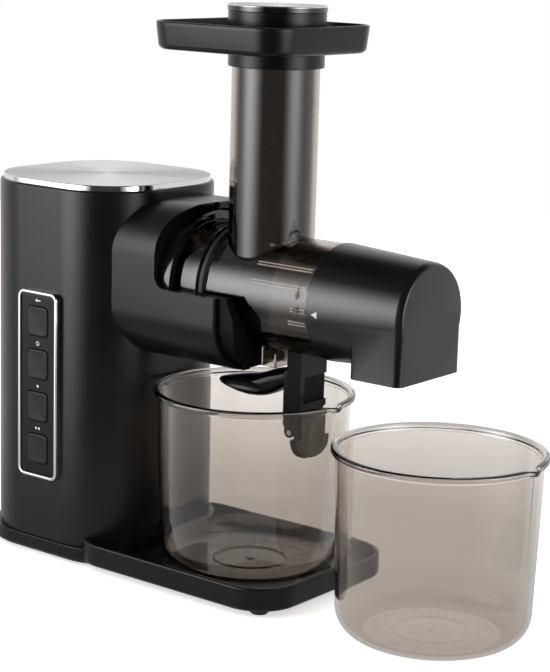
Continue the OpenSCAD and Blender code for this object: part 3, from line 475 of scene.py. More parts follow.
def painted_rib_glint():
    """Painted glint on a narrow rib of a clear moulding: a pale, warm strip stands in for its highlight."""
    m, t, place = start("Copolyester, painted rib glint")
    drift = add(t, "ShaderNodeTexNoise", {"Scale": per_mm(14), "Detail": 2.0},
                {"Vector": place.outputs["Object"]})
    tone = add(t, "ShaderNodeMix", {"A": linear("#8d7f70"), "B": linear("#d8cabb")},
               {"Factor": drift.outputs["Fac"]}, data_type="RGBA")
    surface(t, {"IOR": 1.49, "Transmission Weight": 0.25, "Coat Weight": 0.3, "Roughness": 0.22},
            {"Base Color": tone.outputs["Result"]})
    return m


def soft_rubber(name, colour, rough=0.62):
    """Moulded rubber or silicone: dull, with a fine stipple."""
    m, t, place = start(name)
    stipple = add(t, "ShaderNodeTexVoronoi", {"Scale": per_mm(0.8)}, {"Vector": place.outputs["Object"]})
    tone = add(t, "ShaderNodeMix", {"A": linear(colour), "B": linear("#121212")},
               {"Factor": stipple.outputs["Distance"]}, data_type="RGBA")
    bump = add(t, "ShaderNodeBump", {"Strength": 0.3, "Distance": 0.00005},
               {"Height": stipple.outputs["Distance"]})
    surface(t, {"IOR": 1.5, "Roughness": rough},
            {"Base Color": tone.outputs["Result"], "Normal": bump.outputs["Normal"]})
    return m


def pale_nylon():
    """Natural nylon, moulded: milky, slightly glossy, with soft light inside."""
    m, t, place = start("Nylon, moulded, natural")
    flow = add(t, "ShaderNodeTexNoise", {"Scale": per_mm(9), "Detail": 3.0},
               {"Vector": place.outputs["Object"]})
    tone = add(t, "ShaderNodeMix", {"A": linear("#cfc9ba"), "B": linear("#e2ddcf")},
               {"Factor": flow.outputs["Fac"]}, data_type="RGBA")
    rough = add(t, "ShaderNodeMapRange", between(0.32, 0.48, 0.0, 1.0), {"Value": flow.outputs["Fac"]})
    surface(t, {"IOR": 1.53, "Subsurface Weight": 0.15, "Subsurface Scale": 0.002},
            {"Base Color": tone.outputs["Result"], "Roughness": rough.outputs["Result"]})
    return m


def board_laminate():
    """Circuit board: green lacquer over faint square copper areas."""
    m, t, place = start("Glass-epoxy board, solder mask green")
    tracks = add(t, "ShaderNodeTexBrick",
                 {"Scale": per_mm(60), "Color1": linear("#1c5a33"), "Color2": linear("#17492b"),
                  "Mortar": linear("#2c7a48"), "Mortar Size": 0.03}, {"Vector": place.outputs["Object"]})
    surface(t, {"IOR": 1.5, "Roughness": 0.3}, {"Base Color": tracks.outputs["Color"]})
    return m


def wound_copper():
    """Motor core: bands of varnished copper wire between dark steel sheets."""
    m, t, place = start("Copper winding on steel core, varnished")
    bands = add(t, "ShaderNodeTexWave", {"Scale": per_mm(3.2), "Distortion": 0.4},
                {"Vector": place.outputs["Object"]}, bands_direction="X")
    tone = add(t, "ShaderNodeMix", {"A": linear("#7d4a26"), "B": linear("#b5763f")},
               {"Factor": bands.outputs["Fac"]}, data_type="RGBA")
    surface(t, {"Metallic": 1.0, "Roughness": 0.38}, {"Base Color": tone.outputs["Result"]})
    return m


def printed_mark():
    """Pad-printed ink: flat, slightly chalky."""
    m, t, place = start("Pad-printed ink, light grey")
    dust = add(t, "ShaderNodeTexNoise", {"Scale": per_mm(0.7)}, {"Vector": place.outputs["Object"]})
    tone = add(t, "ShaderNodeMix", {"A": linear("#b9b9b9"), "B": linear("#dedede")},
               {"Factor": dust.outputs["Fac"]}, data_type="RGBA")
    surface(t, {"IOR": 1.45, "Roughness": 0.55}, {"Base Color": tone.outputs["Result"]})
    return m


MATERIALS = {}


def make_materials(look):
    """Every material by a short name. A satin plastic's colours are given lighter one first."""
    MATERIALS.update({
        # Black plastics, which differ in how much they shine.
        "satin": satin_abs("ABS, moulded, satin black", look.black, "#0a0a0a"),
        "satin_lit": satin_abs("ABS, moulded, fine satin black", "#0d0d0e", "#0a0a0b", (0.25, 0.29),
                               sheen=0.23),
        "cap": satin_abs("ABS, moulded, smooth satin black", "#0f0f10", "#0b0b0c", (0.21, 0.25), sheen=0.42),
        "stem": satin_abs("ABS, moulded, smooth black", "#0a0a0b", "#070707", (0.24, 0.30),
                          grain=0.8, depth=0.004, sheen=0.26),
        "lever": satin_abs("ABS, moulded, polished lever black", "#070707", "#050505", (0.14, 0.20),
                           grain=0.8, depth=0.002, sheen=0.16),
        "shade": satin_abs("ABS, moulded, matt black", "#070707", "#050505", (0.45, 0.55),
                           grain=0.8, depth=0.004, sheen=0.08),
        "key": satin_abs("ABS key cap, satin charcoal", "#151516", "#111112", (0.30, 0.36),
                         grain=0.35, depth=0.01, sheen=0.24),
        "panel": satin_abs("ABS, moulded, panel black", "#0d0d0e", "#0a0a0b", (0.28, 0.34),
                           grain=0.35, depth=0.006, sheen=0.18),
        "gloss": gloss_abs(),
        # Metals.
        "turned": turned_steel(),
        "polished": plain_metal("Stainless steel, polished edge", "#c4c5c6", "#dadbdc", (0.05, 0.12), 8),
        "chrome": plain_metal("ABS, chrome plated", "#cfd0d1", "#e2e3e4", (0.03, 0.08), 12),
        "steel": plain_metal("Steel, machined", "#9a9c9e", "#b5b7b9", (0.26, 0.40), 3),
        "sheet": plain_metal("Steel sheet, pressed, zinc plated", "#77797c", "#8d9093", (0.38, 0.5), 9),
        "cast": plain_metal("Aluminium, die cast", "#6a6c6f", "#84868a", (0.45, 0.6), 2),
        "strainer": plain_metal("Stainless steel, punched strainer", "#6f6f70", "#858586", (0.26, 0.34), 12),
        # Clear plastics.
        # The beakers' last colour is the deeper tint at their foot, partly painted shade.
        "smoky": smoky_plastic("Copolyester, moulded, smoky clear", look.smoke_dark, 0.012, look.smoke,
                               "#d8cec5"),
        "drum": smoky_plastic("Copolyester, moulded, smoky drum", look.drum_dark, 0.02, look.drum),
        # Pale, warm strips that paint the glints along the drum's ribs.
        "edge": painted_rib_glint(),
        "etched": smoky_plastic("Copolyester, moulded, matt mark", look.drum_dark, 0.45, look.drum),
        # Seals, gears, boards and print.
        "rubber": soft_rubber("Rubber, moulded black", "#0b0b0b"),
        "silicone": soft_rubber("Silicone, moulded grey", "#3a3a3c", 0.5),
        "nylon": pale_nylon(),
        "board": board_laminate(),
        "parts": satin_abs("Electronic parts, moulded grey", "#3d4045", "#2d2f33", (0.4, 0.6), grain=0.6),
        "screw": satin_abs("Reinforced nylon screw, charcoal", "#232325", "#19191b", (0.34, 0.46),
                           grain=0.9, depth=0.05),
        "copper": wound_copper(),
        "mark": printed_mark(),
    })


# ---------------------------------------------------------------- pieces


def radial_map(obj, centre):
    """Two maps: place in millimetres from the middle, and one whose U runs around the middle.

    The flat top is cut into a fan first, so that the direction of brushing can turn with it."""
    bm = bmesh.new()
    bm.from_mesh(obj.data)
    top = max(v.co.z for v in bm.verts)
    caps = [f for f in bm.faces if len(f.verts) > 8 and all(abs(v.co.z - top) < 1e-6 for v in f.verts)]
    for cap in caps:
        rim = [loop.vert for loop in cap.loops]
        bm.faces.remove(cap)
        outer = rim
        for share in (0.75, 0.5, 0.3, 0.15, 0.05, 0.01):
            middle = Vector((centre.x, centre.y, top))
            inner = [bm.verts.new(middle.lerp(Vector((v.co.x, v.co.y, top)), share)) for v in rim]
            for k in range(len(rim)):
                n = (k + 1) % len(rim)
                face = bm.faces.new((outer[k], outer[n], inner[n], inner[k]))
                face.smooth = True
            outer = inner
        bm.faces.new(outer)
    bmesh.ops.recalc_face_normals(bm, faces=bm.faces)
    place = bm.loops.layers.uv.new("place")
    around = bm.loops.layers.uv.new("around")
    for face in bm.faces:
        middle = face.calc_center_median()
        base = math.atan2(middle.y - centre.y, middle.x - centre.x)
        for loop in face.loops:
            x, y = loop.vert.co.x - centre.x, loop.vert.co.y - centre.y
            loop[place].uv = (x * 1000, y * 1000)
            a = math.atan2(y, x)
            # Angles of one face stay together where the full turn begins.
            a -= 2 * math.pi * round((a - base) / (2 * math.pi))
            loop[around].uv = (a, math.hypot(x, y) * 10)
    bm.to_mesh(obj.data)
    bm.free()
    obj.data.uv_layers["place"].active = True
    obj.data.uv_layers["place"].active_render = True


def build_column(sizes):
    """Column shell with its cooling slots and its hole for the cord, and the steel lid."""
    low, high = from_column("housing")
    half, corner, wall = high.x, sizes.column_corner, 2.5
    outline = plan(half, half, corner, 18)
    profile = fillet([(0, low.z, 0), (0, high.z, 1.6), (8, high.z, 0)], 6)
    profile[0:1] = [(0.5, low.z), (0.12, low.z + 0.15), (0, low.z + 0.6)]
    shell = stack("column_shell", outline, profile)
    combine(shell, stack("hollow", outline, [(wall, low.z - 1), (wall, high.z - wall)]))
    for z in range(150, 190, 5):
        combine(shell, block("slot", (-15, half - 4, z - 1.2), (15, half + 2, z + 1.2)))
    combine(shell, rod_y("cord_hole", 7.05, half - 6, half + 6, 0, 32))
    even_normals(shell)
    finish_piece(shell, MATERIALS["satin"], "stand", "soft_black", "housing")

    low, high = from_column("lid")
    gap = half - high.x
    profile = fillet([(0, low.z, 0), (0, high.z, 0.7), (5, high.z, 0)], 6)
    plate = stack("lid_plate", plan(high.x, high.x, corner - gap, 18), profile)
    radial_map(plate, at(0, 0, 0))
    finish_piece(plate, [MATERIALS["turned"], MATERIALS["polished"]], "stand", "brushed_lid", "lid")
    material_by_height(plate, high.z - 0.05)


def build_base(sizes):
    """Skirt under the column, and the tray with its rim, dished floor and the beaker's locating ring."""
    low, high = from_column("base")
    seam, column = from_column("housing")[0].z, from_column("housing")[1].x
    skirt, top, underside, floor = -low.x, high.z, 4.0, 9.0
    start_x, end = 24.0, high.x
    middle = (start_x + end) / 2
    outline = plan((end - start_x) / 2, high.y, sizes.tray_corner)
    profile = fillet([(1.0, underside, 0), (0, underside + 1.2, 0.8), (0, top, 1.3), (6, top, 0)], 5)
    tray = stack("base_tray", outline, profile, cx=middle)
    profile = fillet([(0.8, low.z + 1.5, 0), (0, low.z + 2.8, 1), (0, seam, 0.8), (3, seam, 0)], 4)
    combine(tray, stack("skirt", plan(skirt, skirt, sizes.column_corner - 6), profile), "UNION")
    combine(tray, stack("column_seat", plan(column + 0.2, column + 0.2, 42), [(0, seam), (0, top + 2)]))
    # The dish keeps a wall of 3 mm around the column.
    profile = fillet([(2.0, top + 1.0, 0), (3.0, top - 0.8, 0.8), (3.2, floor, 2.6), (12, floor, 0)], 5)
    dish = stack("dish", outline, profile, cx=middle)
    combine(dish, stack("keep", plan(column + 3, column + 3, 44), [(0, 2), (0, 30)]))
    combine(tray, dish)
    groove = [(59.4, floor - 0.5), (59.4, floor + 0.5), (56.6, floor + 0.5), (56.6, floor - 0.5)]
    combine(tray, turned("groove", groove, centre=(119.8, 0, 0), closed=True))
    combine(tray, stack("under", outline, [(3, underside - 2), (3, 6.5)], cx=middle))
    for x, y in ((62, 47), (165, 47), (62, -47), (165, -47)):
        combine(tray, turned("foot_pad", [(7.5, underside), (7.5, 7.0)], centre=(x, y, 0)), "UNION")
    even_normals(tray)
    finish_piece(tray, MATERIALS["satin_lit"], "stand", "soft_black", "base")


def build_collar(sizes):
    """Ring with its window, the hollow arm below it, and the cradle that the arm carries."""
    low, high = from_column("collar")
    half_y, half_z, mid_z = high.y, (high.z - low.z) / 2, (high.z + low.z) / 2
    ring_end, arm_end, window, axis = 92.0, high.x, 80.0, sizes.axis_z
    arm_wall, arm_back = 3.2, 90.5
    column = from_column("housing")[1].x
    centre = (0, 0, axis)

    def along(name, profile):
        """Body along the drum in the collar's outline. profile is a list of (inset, x)."""
        outline = plan(half_y, half_z, sizes.collar_corner)
        return loft(name, [[at(x, y, z + mid_z) for y, z in outline(inset)] for inset, x in profile])

    ring = along("collar_ring", fillet([(0, low.x, 0), (0, ring_end, 2.2), (2.4, ring_end, 0)], 5))
    arm = along("arm", fillet([(0, low.x + 1, 0), (0, arm_end, 1.4), (2.0, arm_end, 0)], 5))
    combine(arm, block("upper_half", (20, -80, axis), (arm_end + 5, 80, axis + 80)))
    combine(ring, arm, "UNION")
    combine(ring,
            stack("column", plan(column + 0.05, column + 0.05, sizes.column_corner, 20), [(0, 60), (0, 229)]))
    combine(ring, turned("drum_bore", [(43.6, column + 4), (43.6, ring_end + 2)], "X", centre))
    combine(ring, turned("shaft_bore", [(19.3, low.x - 2), (19.3, column + 6)], "X", centre))
    combine(ring, along("hollow", [(arm_wall, arm_back), (arm_wall, arm_end + 2)]))
    # Window on the panel side: round towards the arm, and sweeping back to the ring's front above.
    edge = [(window + 8, axis), (arm_end + 20, axis), (arm_end + 20, axis + 60), (90.5, axis + 60),
            (90, axis + 46.5), (85, axis + 41.5), (81.5, axis + 34), (window, axis + 26), (window, axis + 8)]
    edge = fillet([(x, z, 5 if axis + 30 < z < axis + 45 else 0) for x, z in edge], 4, closed=True)
    edge += arc(window + 8, axis + 8, 8, 180, 270, 8)[1:-1]
    combine(ring, slab_y("window", edge, -60, -2))
    soften(ring, 1.0)
    finish_piece(ring, MATERIALS["satin_lit"], "stand", "soft_black", "collar")

    low, high = from_column("drum_cradle")
    inset = arm_wall + 0.3
    bottom = mid_z - half_z + inset
    cradle = along("cradle", [(inset, low.x), (inset, high.x + 1)])
    side = fillet([(low.x - 1, bottom - 1, 0), (133.0, bottom - 1, 0), (133.0, bottom + 7, 2),
                   (136.7, axis - 26, 14), (137.5, axis - 20, 20), (136.5, axis - 11, 20), (131, axis, 0),
                   (low.x - 1, axis, 0)], 6)
    combine(cradle, slab_y("keep", side, -60, 60), "INTERSECT")
    combine(cradle, turned("drum_bore", [(37.1, low.x - 2), (37.1, high.x + 3)], "X", centre))
    combine(cradle, block("hollow", (low.x + 4, -11, bottom - 4), (high.x + 4, 11, axis - 35.1)))
    catch = block("catch", (arm_end + 0.3, -21, bottom - 3), (arm_end + 2.5, -15, bottom + 4))
    combine(catch, block("catch_foot", (arm_end + 0.3, -21, bottom), (arm_end + 4.5, -15, bottom + 5)),
            "UNION")
    combine(cradle, catch, "UNION")
    soften(cradle, 0.6)
    finish_piece(cradle, MATERIALS["shade"], "stand", "gloss_black", "drum_cradle")


def on_drum(sizes, x, angle, r):
    """Point r from the drum's axis, at an angle in degrees below the middle of the panel side."""
    a = math.radians(angle)
    return at(x, -r * math.cos(a), sizes.axis_z - r * math.sin(a))


def drum_bar(sizes, name, angle, x0, x1):
    """Narrow raised bar along the drum."""
    half, inner, outer, chamfer = 0.28, DRUM_RADIUS - 0.4, DRUM_RADIUS + 0.7, 0.3
    turn = math.degrees(half / outer)
    ring = [(angle - turn, inner), (angle + turn, inner), (angle + turn, outer - chamfer),
            (angle + turn * 0.6, outer), (angle - turn * 0.6, outer), (angle - turn, outer - chamfer)]
    return loft(name, [[on_drum(sizes, x, a, r) for a, r in ring] for x in (x0, x1)])


def build_drum(sizes):
    """Clear drum with its wide flange, its chute and the guide below, and its raised bars drawn as painted
    glints.
    """
    low, high = from_column("drum")
    axis, back, mouth, top = sizes.axis_z, low.x, high.x, high.z
    flange, flange_radius, seal_radius = back + 25.2, 36.6, 13.3
    bar_end, bore = mouth - 11, DRUM_RADIUS - 3.4
    chute_radius, chute_bore = 25.2, 22.9
    centre, chute_foot = (0, 0, axis), (CHUTE_X, 0, 0)
    profile = fillet([(seal_radius, back, 0), (flange_radius - 0.4, back, 0), (flange_radius, back + 0.4, 0),
                      (flange_radius, flange - 1.8, 0.5), (35.2, flange - 0.3, 0.5),
                      (DRUM_RADIUS, flange, 0.4),
                      (DRUM_RADIUS, bar_end, 0), (DRUM_RADIUS - 1.4, bar_end, 0),
                      (DRUM_RADIUS - 1.4, mouth - 0.5, 0), (DRUM_RADIUS - 1.9, mouth, 0),
                      (30.2, mouth, 0)], 6)
    drum = turned("drum_clear", profile, "X", centre)
    tube = [(chute_radius, axis), (chute_radius, top - 0.5), (chute_radius - 0.5, top),
            (chute_radius - 1.9, top)]
    combine(drum, turned("chute", tube, centre=chute_foot), "UNION")
    combine(drum, block("guide", (130.5, -10, 133.5), (143, 10, axis)), "UNION")
    combine(drum, turned("bore", [(bore, back + 3), (bore, mouth + 3)], "X", centre))
    combine(drum, turned("chute_bore", [(chute_bore, axis), (chute_bore, top + 3)], centre=chute_foot))
    combine(drum, block("guide_hollow", (132.5, -8, 130), (141, 8, axis - DRUM_RADIUS + 0.6)))
    combine(drum, block("outlet", (155.3, -7, axis - DRUM_RADIUS - 4), (161.3, 7, axis - 10)))
    combine(drum, turned("seal_bore", [(seal_radius, back - 3), (seal_radius, back + 6)], "X", centre))
    soften(drum, 0.3, 2)
    finish_piece(drum, MATERIALS["drum"], "stand", "smoky_clear", "drum")
    # Each rib is drawn as two pale strips along its edges: painted glints.
    for k, (angle, x) in enumerate(((-38, 141.5), (-19, 141.5), (15.5, 168.5), (2.4, 170.5))):
        for side in (-1, 1):
            glint_strip = drum_bar(sizes, "drum_bar_%d_%d" % (k, side), angle + side * 1.5, x, bar_end - 1)
            finish_piece(glint_strip, MATERIALS["edge"], "stand", "smoky_clear")


def build_cap(sizes):
    """End cap: round at the drum, tapering to an arch over the pulp spout."""
    low, high = from_column("end_cap")
    axis, x0, x1, bottom = sizes.axis_z, low.x, high.x, low.z
    rim, tip, wall = high.z - axis, CAP_TIP_RADIUS, 1.8
    spout_x = x1 - 34.5
    centre = (0, 0, axis)
    profile = fillet([(rim - 0.6, x0, 0), (rim, x0, 0.5), (rim, x0 + 1.2, 0), (tip + 0.25, x1 - 4, 3),
                      (tip - 1.0, x1, 2.2), (8, x1, 0)], 5)
    cap = turned("cap_shell", profile, "X", centre)
    spout = plan((x1 - spout_x) / 2, tip, 4.5, 10)
    combine(cap, stack("spout", spout, [(0.0, bottom), (0.0, axis)], cx=(spout_x + x1) / 2), "UNION")
    combine(cap, turned("bore", [(32.3, x0 - 2), (32.3, x0 + 12)], "X", centre))
    combine(cap, turned("cavity", [(31.4, x0 + 11.9), (tip - wall, x1 - wall)], "X", centre))
    combine(cap, block("throat", (spout_x + wall, wall - tip, bottom - 2), (x1 - wall, tip - wall, axis)))
    boss = turned("boss", [(8.4, x0 + 9.3), (8.4, x1 - 1.0)], "X", centre)
    combine(boss, turned("bush_bore", [(6.25, x0 + 7), (6.25, x0 + 24.2)], "X", centre))
    combine(cap, boss, "UNION")
    soften(cap, 0.9)
    finish_piece(cap, MATERIALS["cap"], "cap_group", "soft_black", "end_cap")


def build_feed_tray(sizes):
    """Tray on the chute, with a rolled rim, and the sleeve that fits over the chute."""
    low, high = from_column("feed_tray")
    half, middle = (high.y - low.y) / 2, (low.x + high.x) / 2
    underside = high.z - 16
    floor = underside + 2.4
    profile = fillet([(9, underside, 0), (1.6, underside, 3.5), (0.0, high.z - 2.2, 0.4), (0, high.z, 1.0),
                      (2.0, high.z, 0.8), (2.6, floor, 4), (14, floor, 0)], 6)
    tray = stack("feed_tray_shell", plan(half, half, sizes.feed_corner, ease=0.9), profile, cx=middle)
    foot = (CHUTE_X, 0, 0)
    combine(tray, turned("sleeve", [(27.6, low.z), (27.6, underside + 1)], centre=foot), "UNION")
    combine(tray, turned("sleeve_bore", [(25.5, low.z - 1), (25.5, underside)], centre=foot))
    combine(tray, turned("mouth", [(22.9, low.z - 1), (22.9, high.z + 1)], centre=foot))
    soften(tray, 0.5, 2)
    finish_piece(tray, MATERIALS["satin_lit"], "feed_tray_group", "soft_black", "feed_tray")


def build_pusher():
    """Hand pusher: stem with its wider head, and the turned steel disc on it."""
    low, high = from_column("pusher")
    middle = (low.x + high.x) / 2
    stem, head, seat = 21.6, 28.0, high.z - 20.4
    profile = fillet([(2, low.z, 0), (stem, low.z, 2.5), (stem, seat, 0), (head, seat, 0.8),
                      (head, high.z, 0.6),
                      (10, high.z, 0)], 5)
    pusher = turned("pusher_body", profile, centre=(middle, 0, 0))
    even_normals(pusher)
    finish_piece(pusher, MATERIALS["stem"], "pusher_group", "soft_black", "pusher")
    low, high = from_column("pusher_disc")
    profile = fillet([(20, low.z, 0), (28.5, low.z, 0), (28.5, high.z, 0.7), (24, high.z, 0)], 5)
    disc = turned("pusher_plate", profile, centre=(middle, 0, 0))
    radial_map(disc, at(middle, 0, 0))
    finish_piece(disc, [MATERIALS["turned"], MATERIALS["polished"], MATERIALS["gloss"]], "pusher_group",
                 "brushed_lid", "pusher_disc")
    material_by_height(disc, high.z - 0.05, high.z - 0.75)


def build_beaker(name, node, body):
    """Clear beaker: rounded foot, slightly flared wall, rim bead and a small pouring lip."""
    low, high = from_column(node)
    rim, foot, wall, height = 60.0, 54.4, 2.2, high.z - low.z
    centre = (low.x + rim, (low.y + high.y) / 2, low.z)
    lip_reach, lip_drop, lip_turn, lip_depth = 2.9, 0.9, 0.085, 16
    profile = fillet([(0.01, 0, 0), (foot, 0, 16), (57.4, height - 4.0, 1.0), (rim, height - 3.2, 0.7),
                      (rim, height - 0.1, 1.3), (56.6, height, 1.3), (55.3, height - 4.5, 1.0),
                      (foot - wall, wall, 13.8), (0.01, wall, 0)], 9)
    steps = 128
    rings = []
    for r, h in profile:
        # The lip fades out below the rim, and leaves the floor alone.
        share = max(0.0, min(1.0, (h - (height - lip_depth)) / lip_depth)) ** 1.6 if r > 40 else 0.0
        ring = []
        for k in range(steps):
            a = 2 * math.pi * k / steps
            turn = (a + math.pi) % (2 * math.pi) - math.pi
            push = math.exp(-(turn / lip_turn) ** 2) * share
            dip = lip_drop * push if h > height - 6 else 0
            reach = r + lip_reach * push
            ring.append(at(centre[0] + reach * math.cos(a), centre[1] + reach * math.sin(a),
                           centre[2] + h - dip))
        rings.append(ring)
    beaker = loft(name, rings)
    foot_ring = [(22.4, wall - 0.4), (22.4, wall + 0.5), (21.9, wall + 0.8), (21.2, wall + 0.8),
                 (20.9, wall + 0.5), (20.9, wall - 0.4)]
    combine(beaker, turned("foot_ring", foot_ring, centre=centre, closed=True), "UNION")
    nub = [(2.6, wall - 0.4), (2.6, wall + 0.4), (1.8, wall + 0.9)]
    combine(beaker, turned("nub", nub, centre=centre, steps=24), "UNION")
    finish_piece(beaker, MATERIALS["smoky"], body, "smoky_clear", node)


# What the tap's pieces share, in millimetres from the column's axis: the lever's hinge with the radius of
# its barrel and ears, and the half width and height of the neck that joins stopper and pad to it.
HINGE = Vector((155.5, 0, 98.1))
EYE_RADIUS = 3.0
NECK, NECK_TOP = 9.9, 107.9


def stopper_outline(r, drop, inset):
    """Round below the shoulder, and a narrower neck above it: points of (y, z)."""
    r, drop, neck, top = r - inset, drop - inset, NECK - inset, NECK_TOP - inset
    centre_z, shoulder = HINGE.z - 2.8, HINGE.z - 3.7 - inset
    path = [(r * math.cos(math.radians(a)), centre_z + drop * math.sin(math.radians(a)), 0)
            for a in range(-15, -170, -5)]
    path += [(-r, shoulder, 3), (-neck, shoulder, 0.3), (-neck, top, 1.2),
             (neck, top, 1.2), (neck, shoulder, 0.3), (r, shoulder, 3)]
    return fillet(path, 4, closed=True)


def stopper_body(name, r, drop, profile):
    """Stopper disc or pad along X, of half-width r, reaching drop below its centre. profile: (inset, x)."""
    return loft(name, [[at(x, y, z) for y, z in stopper_outline(r, drop, inset)] for inset, x in profile])


def paddle_ring(x, half, bottom, top):
    """Section of the lever's paddle, squarer where it meets the stem."""
    middle, rise = (bottom + top) / 2, (top - bottom) / 2
    square = 1.0 if x < 130 else 0.75
    return [at(x, half * math.copysign(abs(u) ** square, u),
               middle + rise * math.copysign(abs(v) ** (0.85 * square), v)) for u, v in circle(1.0, 40)]


def build_lever():
    """Tap lever with its dished paddle and its stopper, and the soft pad on the stopper."""
    sections = [  # place along X, half width, lowest and highest point
        (95.3, 1.6, 117.6, 119.5), (96.6, 4.6, 116.9, 120.3), (100, 7.4, 115.8, 121.6),
        (106, 9.4, 114.3, 123.2), (113, 10.3, 112.9, 124.6), (120, 10.5, 112.3, 126.0),
        (127, 9.9, 112.9, 127.5), (133, 9.0, 114.6, 129.6), (139, 8.6, 117.2, 131.8),
        (144, 8.6, 120.2, 133.0), (148, 8.6, 122.6, 133.9), (151.4, 8.6, 124.0, 134.3)]
    half = 8.6
    lever = loft("tap_lever", [paddle_ring(*section) for section in sections])
    # Thumb dish in the near flank of the paddle.
    combine(lever, ellipsoid("dish", (119.5, -12.9, 118.6), (17.5, 5.4, 5.2)))
    stem = fillet([(148.1, 133.0, 2.0), (148.1, 101.5, 1.0), (152.0, 96.2, 1.5), (152.3, 133.0, 0.5)], 3,
                  closed=True)
    combine(lever, slab_y("stem", stem, -half, half), "UNION")
    combine(lever, block("link", (149.2, -half, HINGE.z - 1.9), (HINGE.x, half, HINGE.z + 2)), "UNION")
    combine(lever, rod_y("barrel", EYE_RADIUS, -10.2, 10.2, HINGE.x, HINGE.z), "UNION")
    disc = [(1.0, 156.6), (0, 157.5), (0, 159.7), (0.8, 160.5)]
    combine(lever, stopper_body("stopper", 13.8, 13.8, disc), "UNION")
    combine(lever, stopper_body("pad_seat", 11.2, 11.2, [(0, 159.5), (0, 161.9)]), "UNION")
    combine(lever, rod_y("pin_hole", 1.8, -13, 13, HINGE.x, HINGE.z))
    soften(lever, 0.45, 2)
    finish_piece(lever, MATERIALS["lever"], "lever_group", "gloss_black", "lever")

    disc = fillet([(1.2, 162, 0), (0, 163, 0.8), (0, 164.6, 1), (1.3, 165.7, 0)], 4)
    pad = stopper_body("soft_pad", 15.8, 12.4, disc)
    # Below the pin's height the pad stays within a circle around the pin, so that it has room to swing.
    keep = rod_y("swing", 17.9, -20, 20, HINGE.x, HINGE.z, 120)
    combine(keep, block("above", (160, -20, HINGE.z), (168, 20, HINGE.z + 20)), "UNION")
    combine(pad, keep, "INTERSECT")
    combine(pad, ellipsoid("recess", (168.2, 0, HINGE.z - 3.0), (3.6, 6.6, 10.4)))
    soften(pad, 0.5, 2)
    finish_piece(pad, MATERIALS["silicone"], "lever_group", "silicone_grey", "lever_pad")


def build_outlet(sizes):
    """Outlet block under the drum, with its nozzle and the two ears that hold the lever's pin."""
    middle, half, bottom = 158.3, 12.4, 111.3
    x0, x1 = middle - 5, middle + 5
    outlet = block("outlet_body", (x0, -half, bottom), (x1, half, 146.0))
    combine(outlet, block("nozzle", (x0, -10.3, bottom - 2.6), (x1, 10.3, bottom + 1)), "UNION")
    for side in (-1, 1):
        y0, y1 = sorted((side * 10.7, side * half))
        ear = block("ear", (HINGE.x - EYE_RADIUS, y0, HINGE.z), (HINGE.x + EYE_RADIUS, y1, bottom + 1))
        combine(outlet, ear, "UNION")
        combine(outlet, rod_y("ear_end", EYE_RADIUS, y0, y1, HINGE.x, HINGE.z), "UNION")
    combine(outlet, turned("drum_seat", [(33.45, 140), (33.45, 175)], "X", (0, 0, sizes.axis_z)))
    combine(outlet, block("channel", (middle - 3, -7, 100), (middle + 3, 7, 150)))
    # Blind recess in the front face, open towards the far side.
    combine(outlet, block("recess", (x1 - 1.4, -8.6, bottom + 4), (x1 + 2, half + 2, bottom + 19.5)))
    combine(outlet, rod_y("pin_hole", 1.55, -18, 18, HINGE.x, HINGE.z))
    soften(outlet, 0.5, 2)
    finish_piece(outlet, [MATERIALS["shade"], MATERIALS["lever"]], "stand", "gloss_black", "outlet_block")
    # Only the front face around the recess is polished.
    front = at(x1 - 0.7, 0, 0).x
    for face in outlet.data.polygons:
        face.material_index = 1 if face.normal.x > 0.3 and face.center.x > front else 0


def build_panel():
    """Bright frame, dark fascia, four keys, and a small printed sign above each key."""
    low, high = from_column("bezel")
    middle, half = middle_and_half("bezel")
    border = 2.0
    profile = fillet([(0, high.y, 0), (0, low.y, 0.9), (border, low.y, 0.7), (border, high.y, 0)], 5,
                     closed=True)
    bezel = upright("panel_frame", half.x, half.z, 5.0, profile, middle.x, middle.z, closed=True)
    finish_piece(bezel, MATERIALS["chrome"], "stand", "chrome_trim", "bezel")

    low, high = from_column("fascia")
    front, back = low.y, high.y
    half = middle_and_half("fascia")[1]
    profile = fillet([(0, back, 0), (0, front, 0.3), (2, front, 0)], 3)
    plate = upright("panel_plate", half.x, half.z, 3.0, profile, middle.x, middle.z)
    spots = []
    for k in range(1, 5):
        node = "button_%d" % k
        low, high = from_column(node)
        middle, half = middle_and_half(node)
        gap = 0.35
        combine(plate, upright("well", half.x + gap, half.z + gap, 3.4, [(0, back + 3), (0, front - 3)],
                               middle.x, middle.z))
        # The key's face is dished by a fraction of a millimetre.
        profile = fillet([(0, high.y, 0), (0, low.y, 1.0), (2.4, low.y + 0.12, 1.5),
                          (6.0, low.y + 0.3, 0)], 5)
        key = upright("key_cap_%d" % k, half.x, half.z, 3.2, profile, middle.x, middle.z)
        even_normals(key)
        finish_piece(key, MATERIALS["key"], "key_%d" % k, "button_black", node)
        spots.append((middle.x, high.z + 3.6))
    soften(plate, 0.25, 2)
    finish_piece(plate, MATERIALS["panel"], "stand", "gloss_black", "fascia")
    build_signs(spots, front - 0.06, front + 0.1)


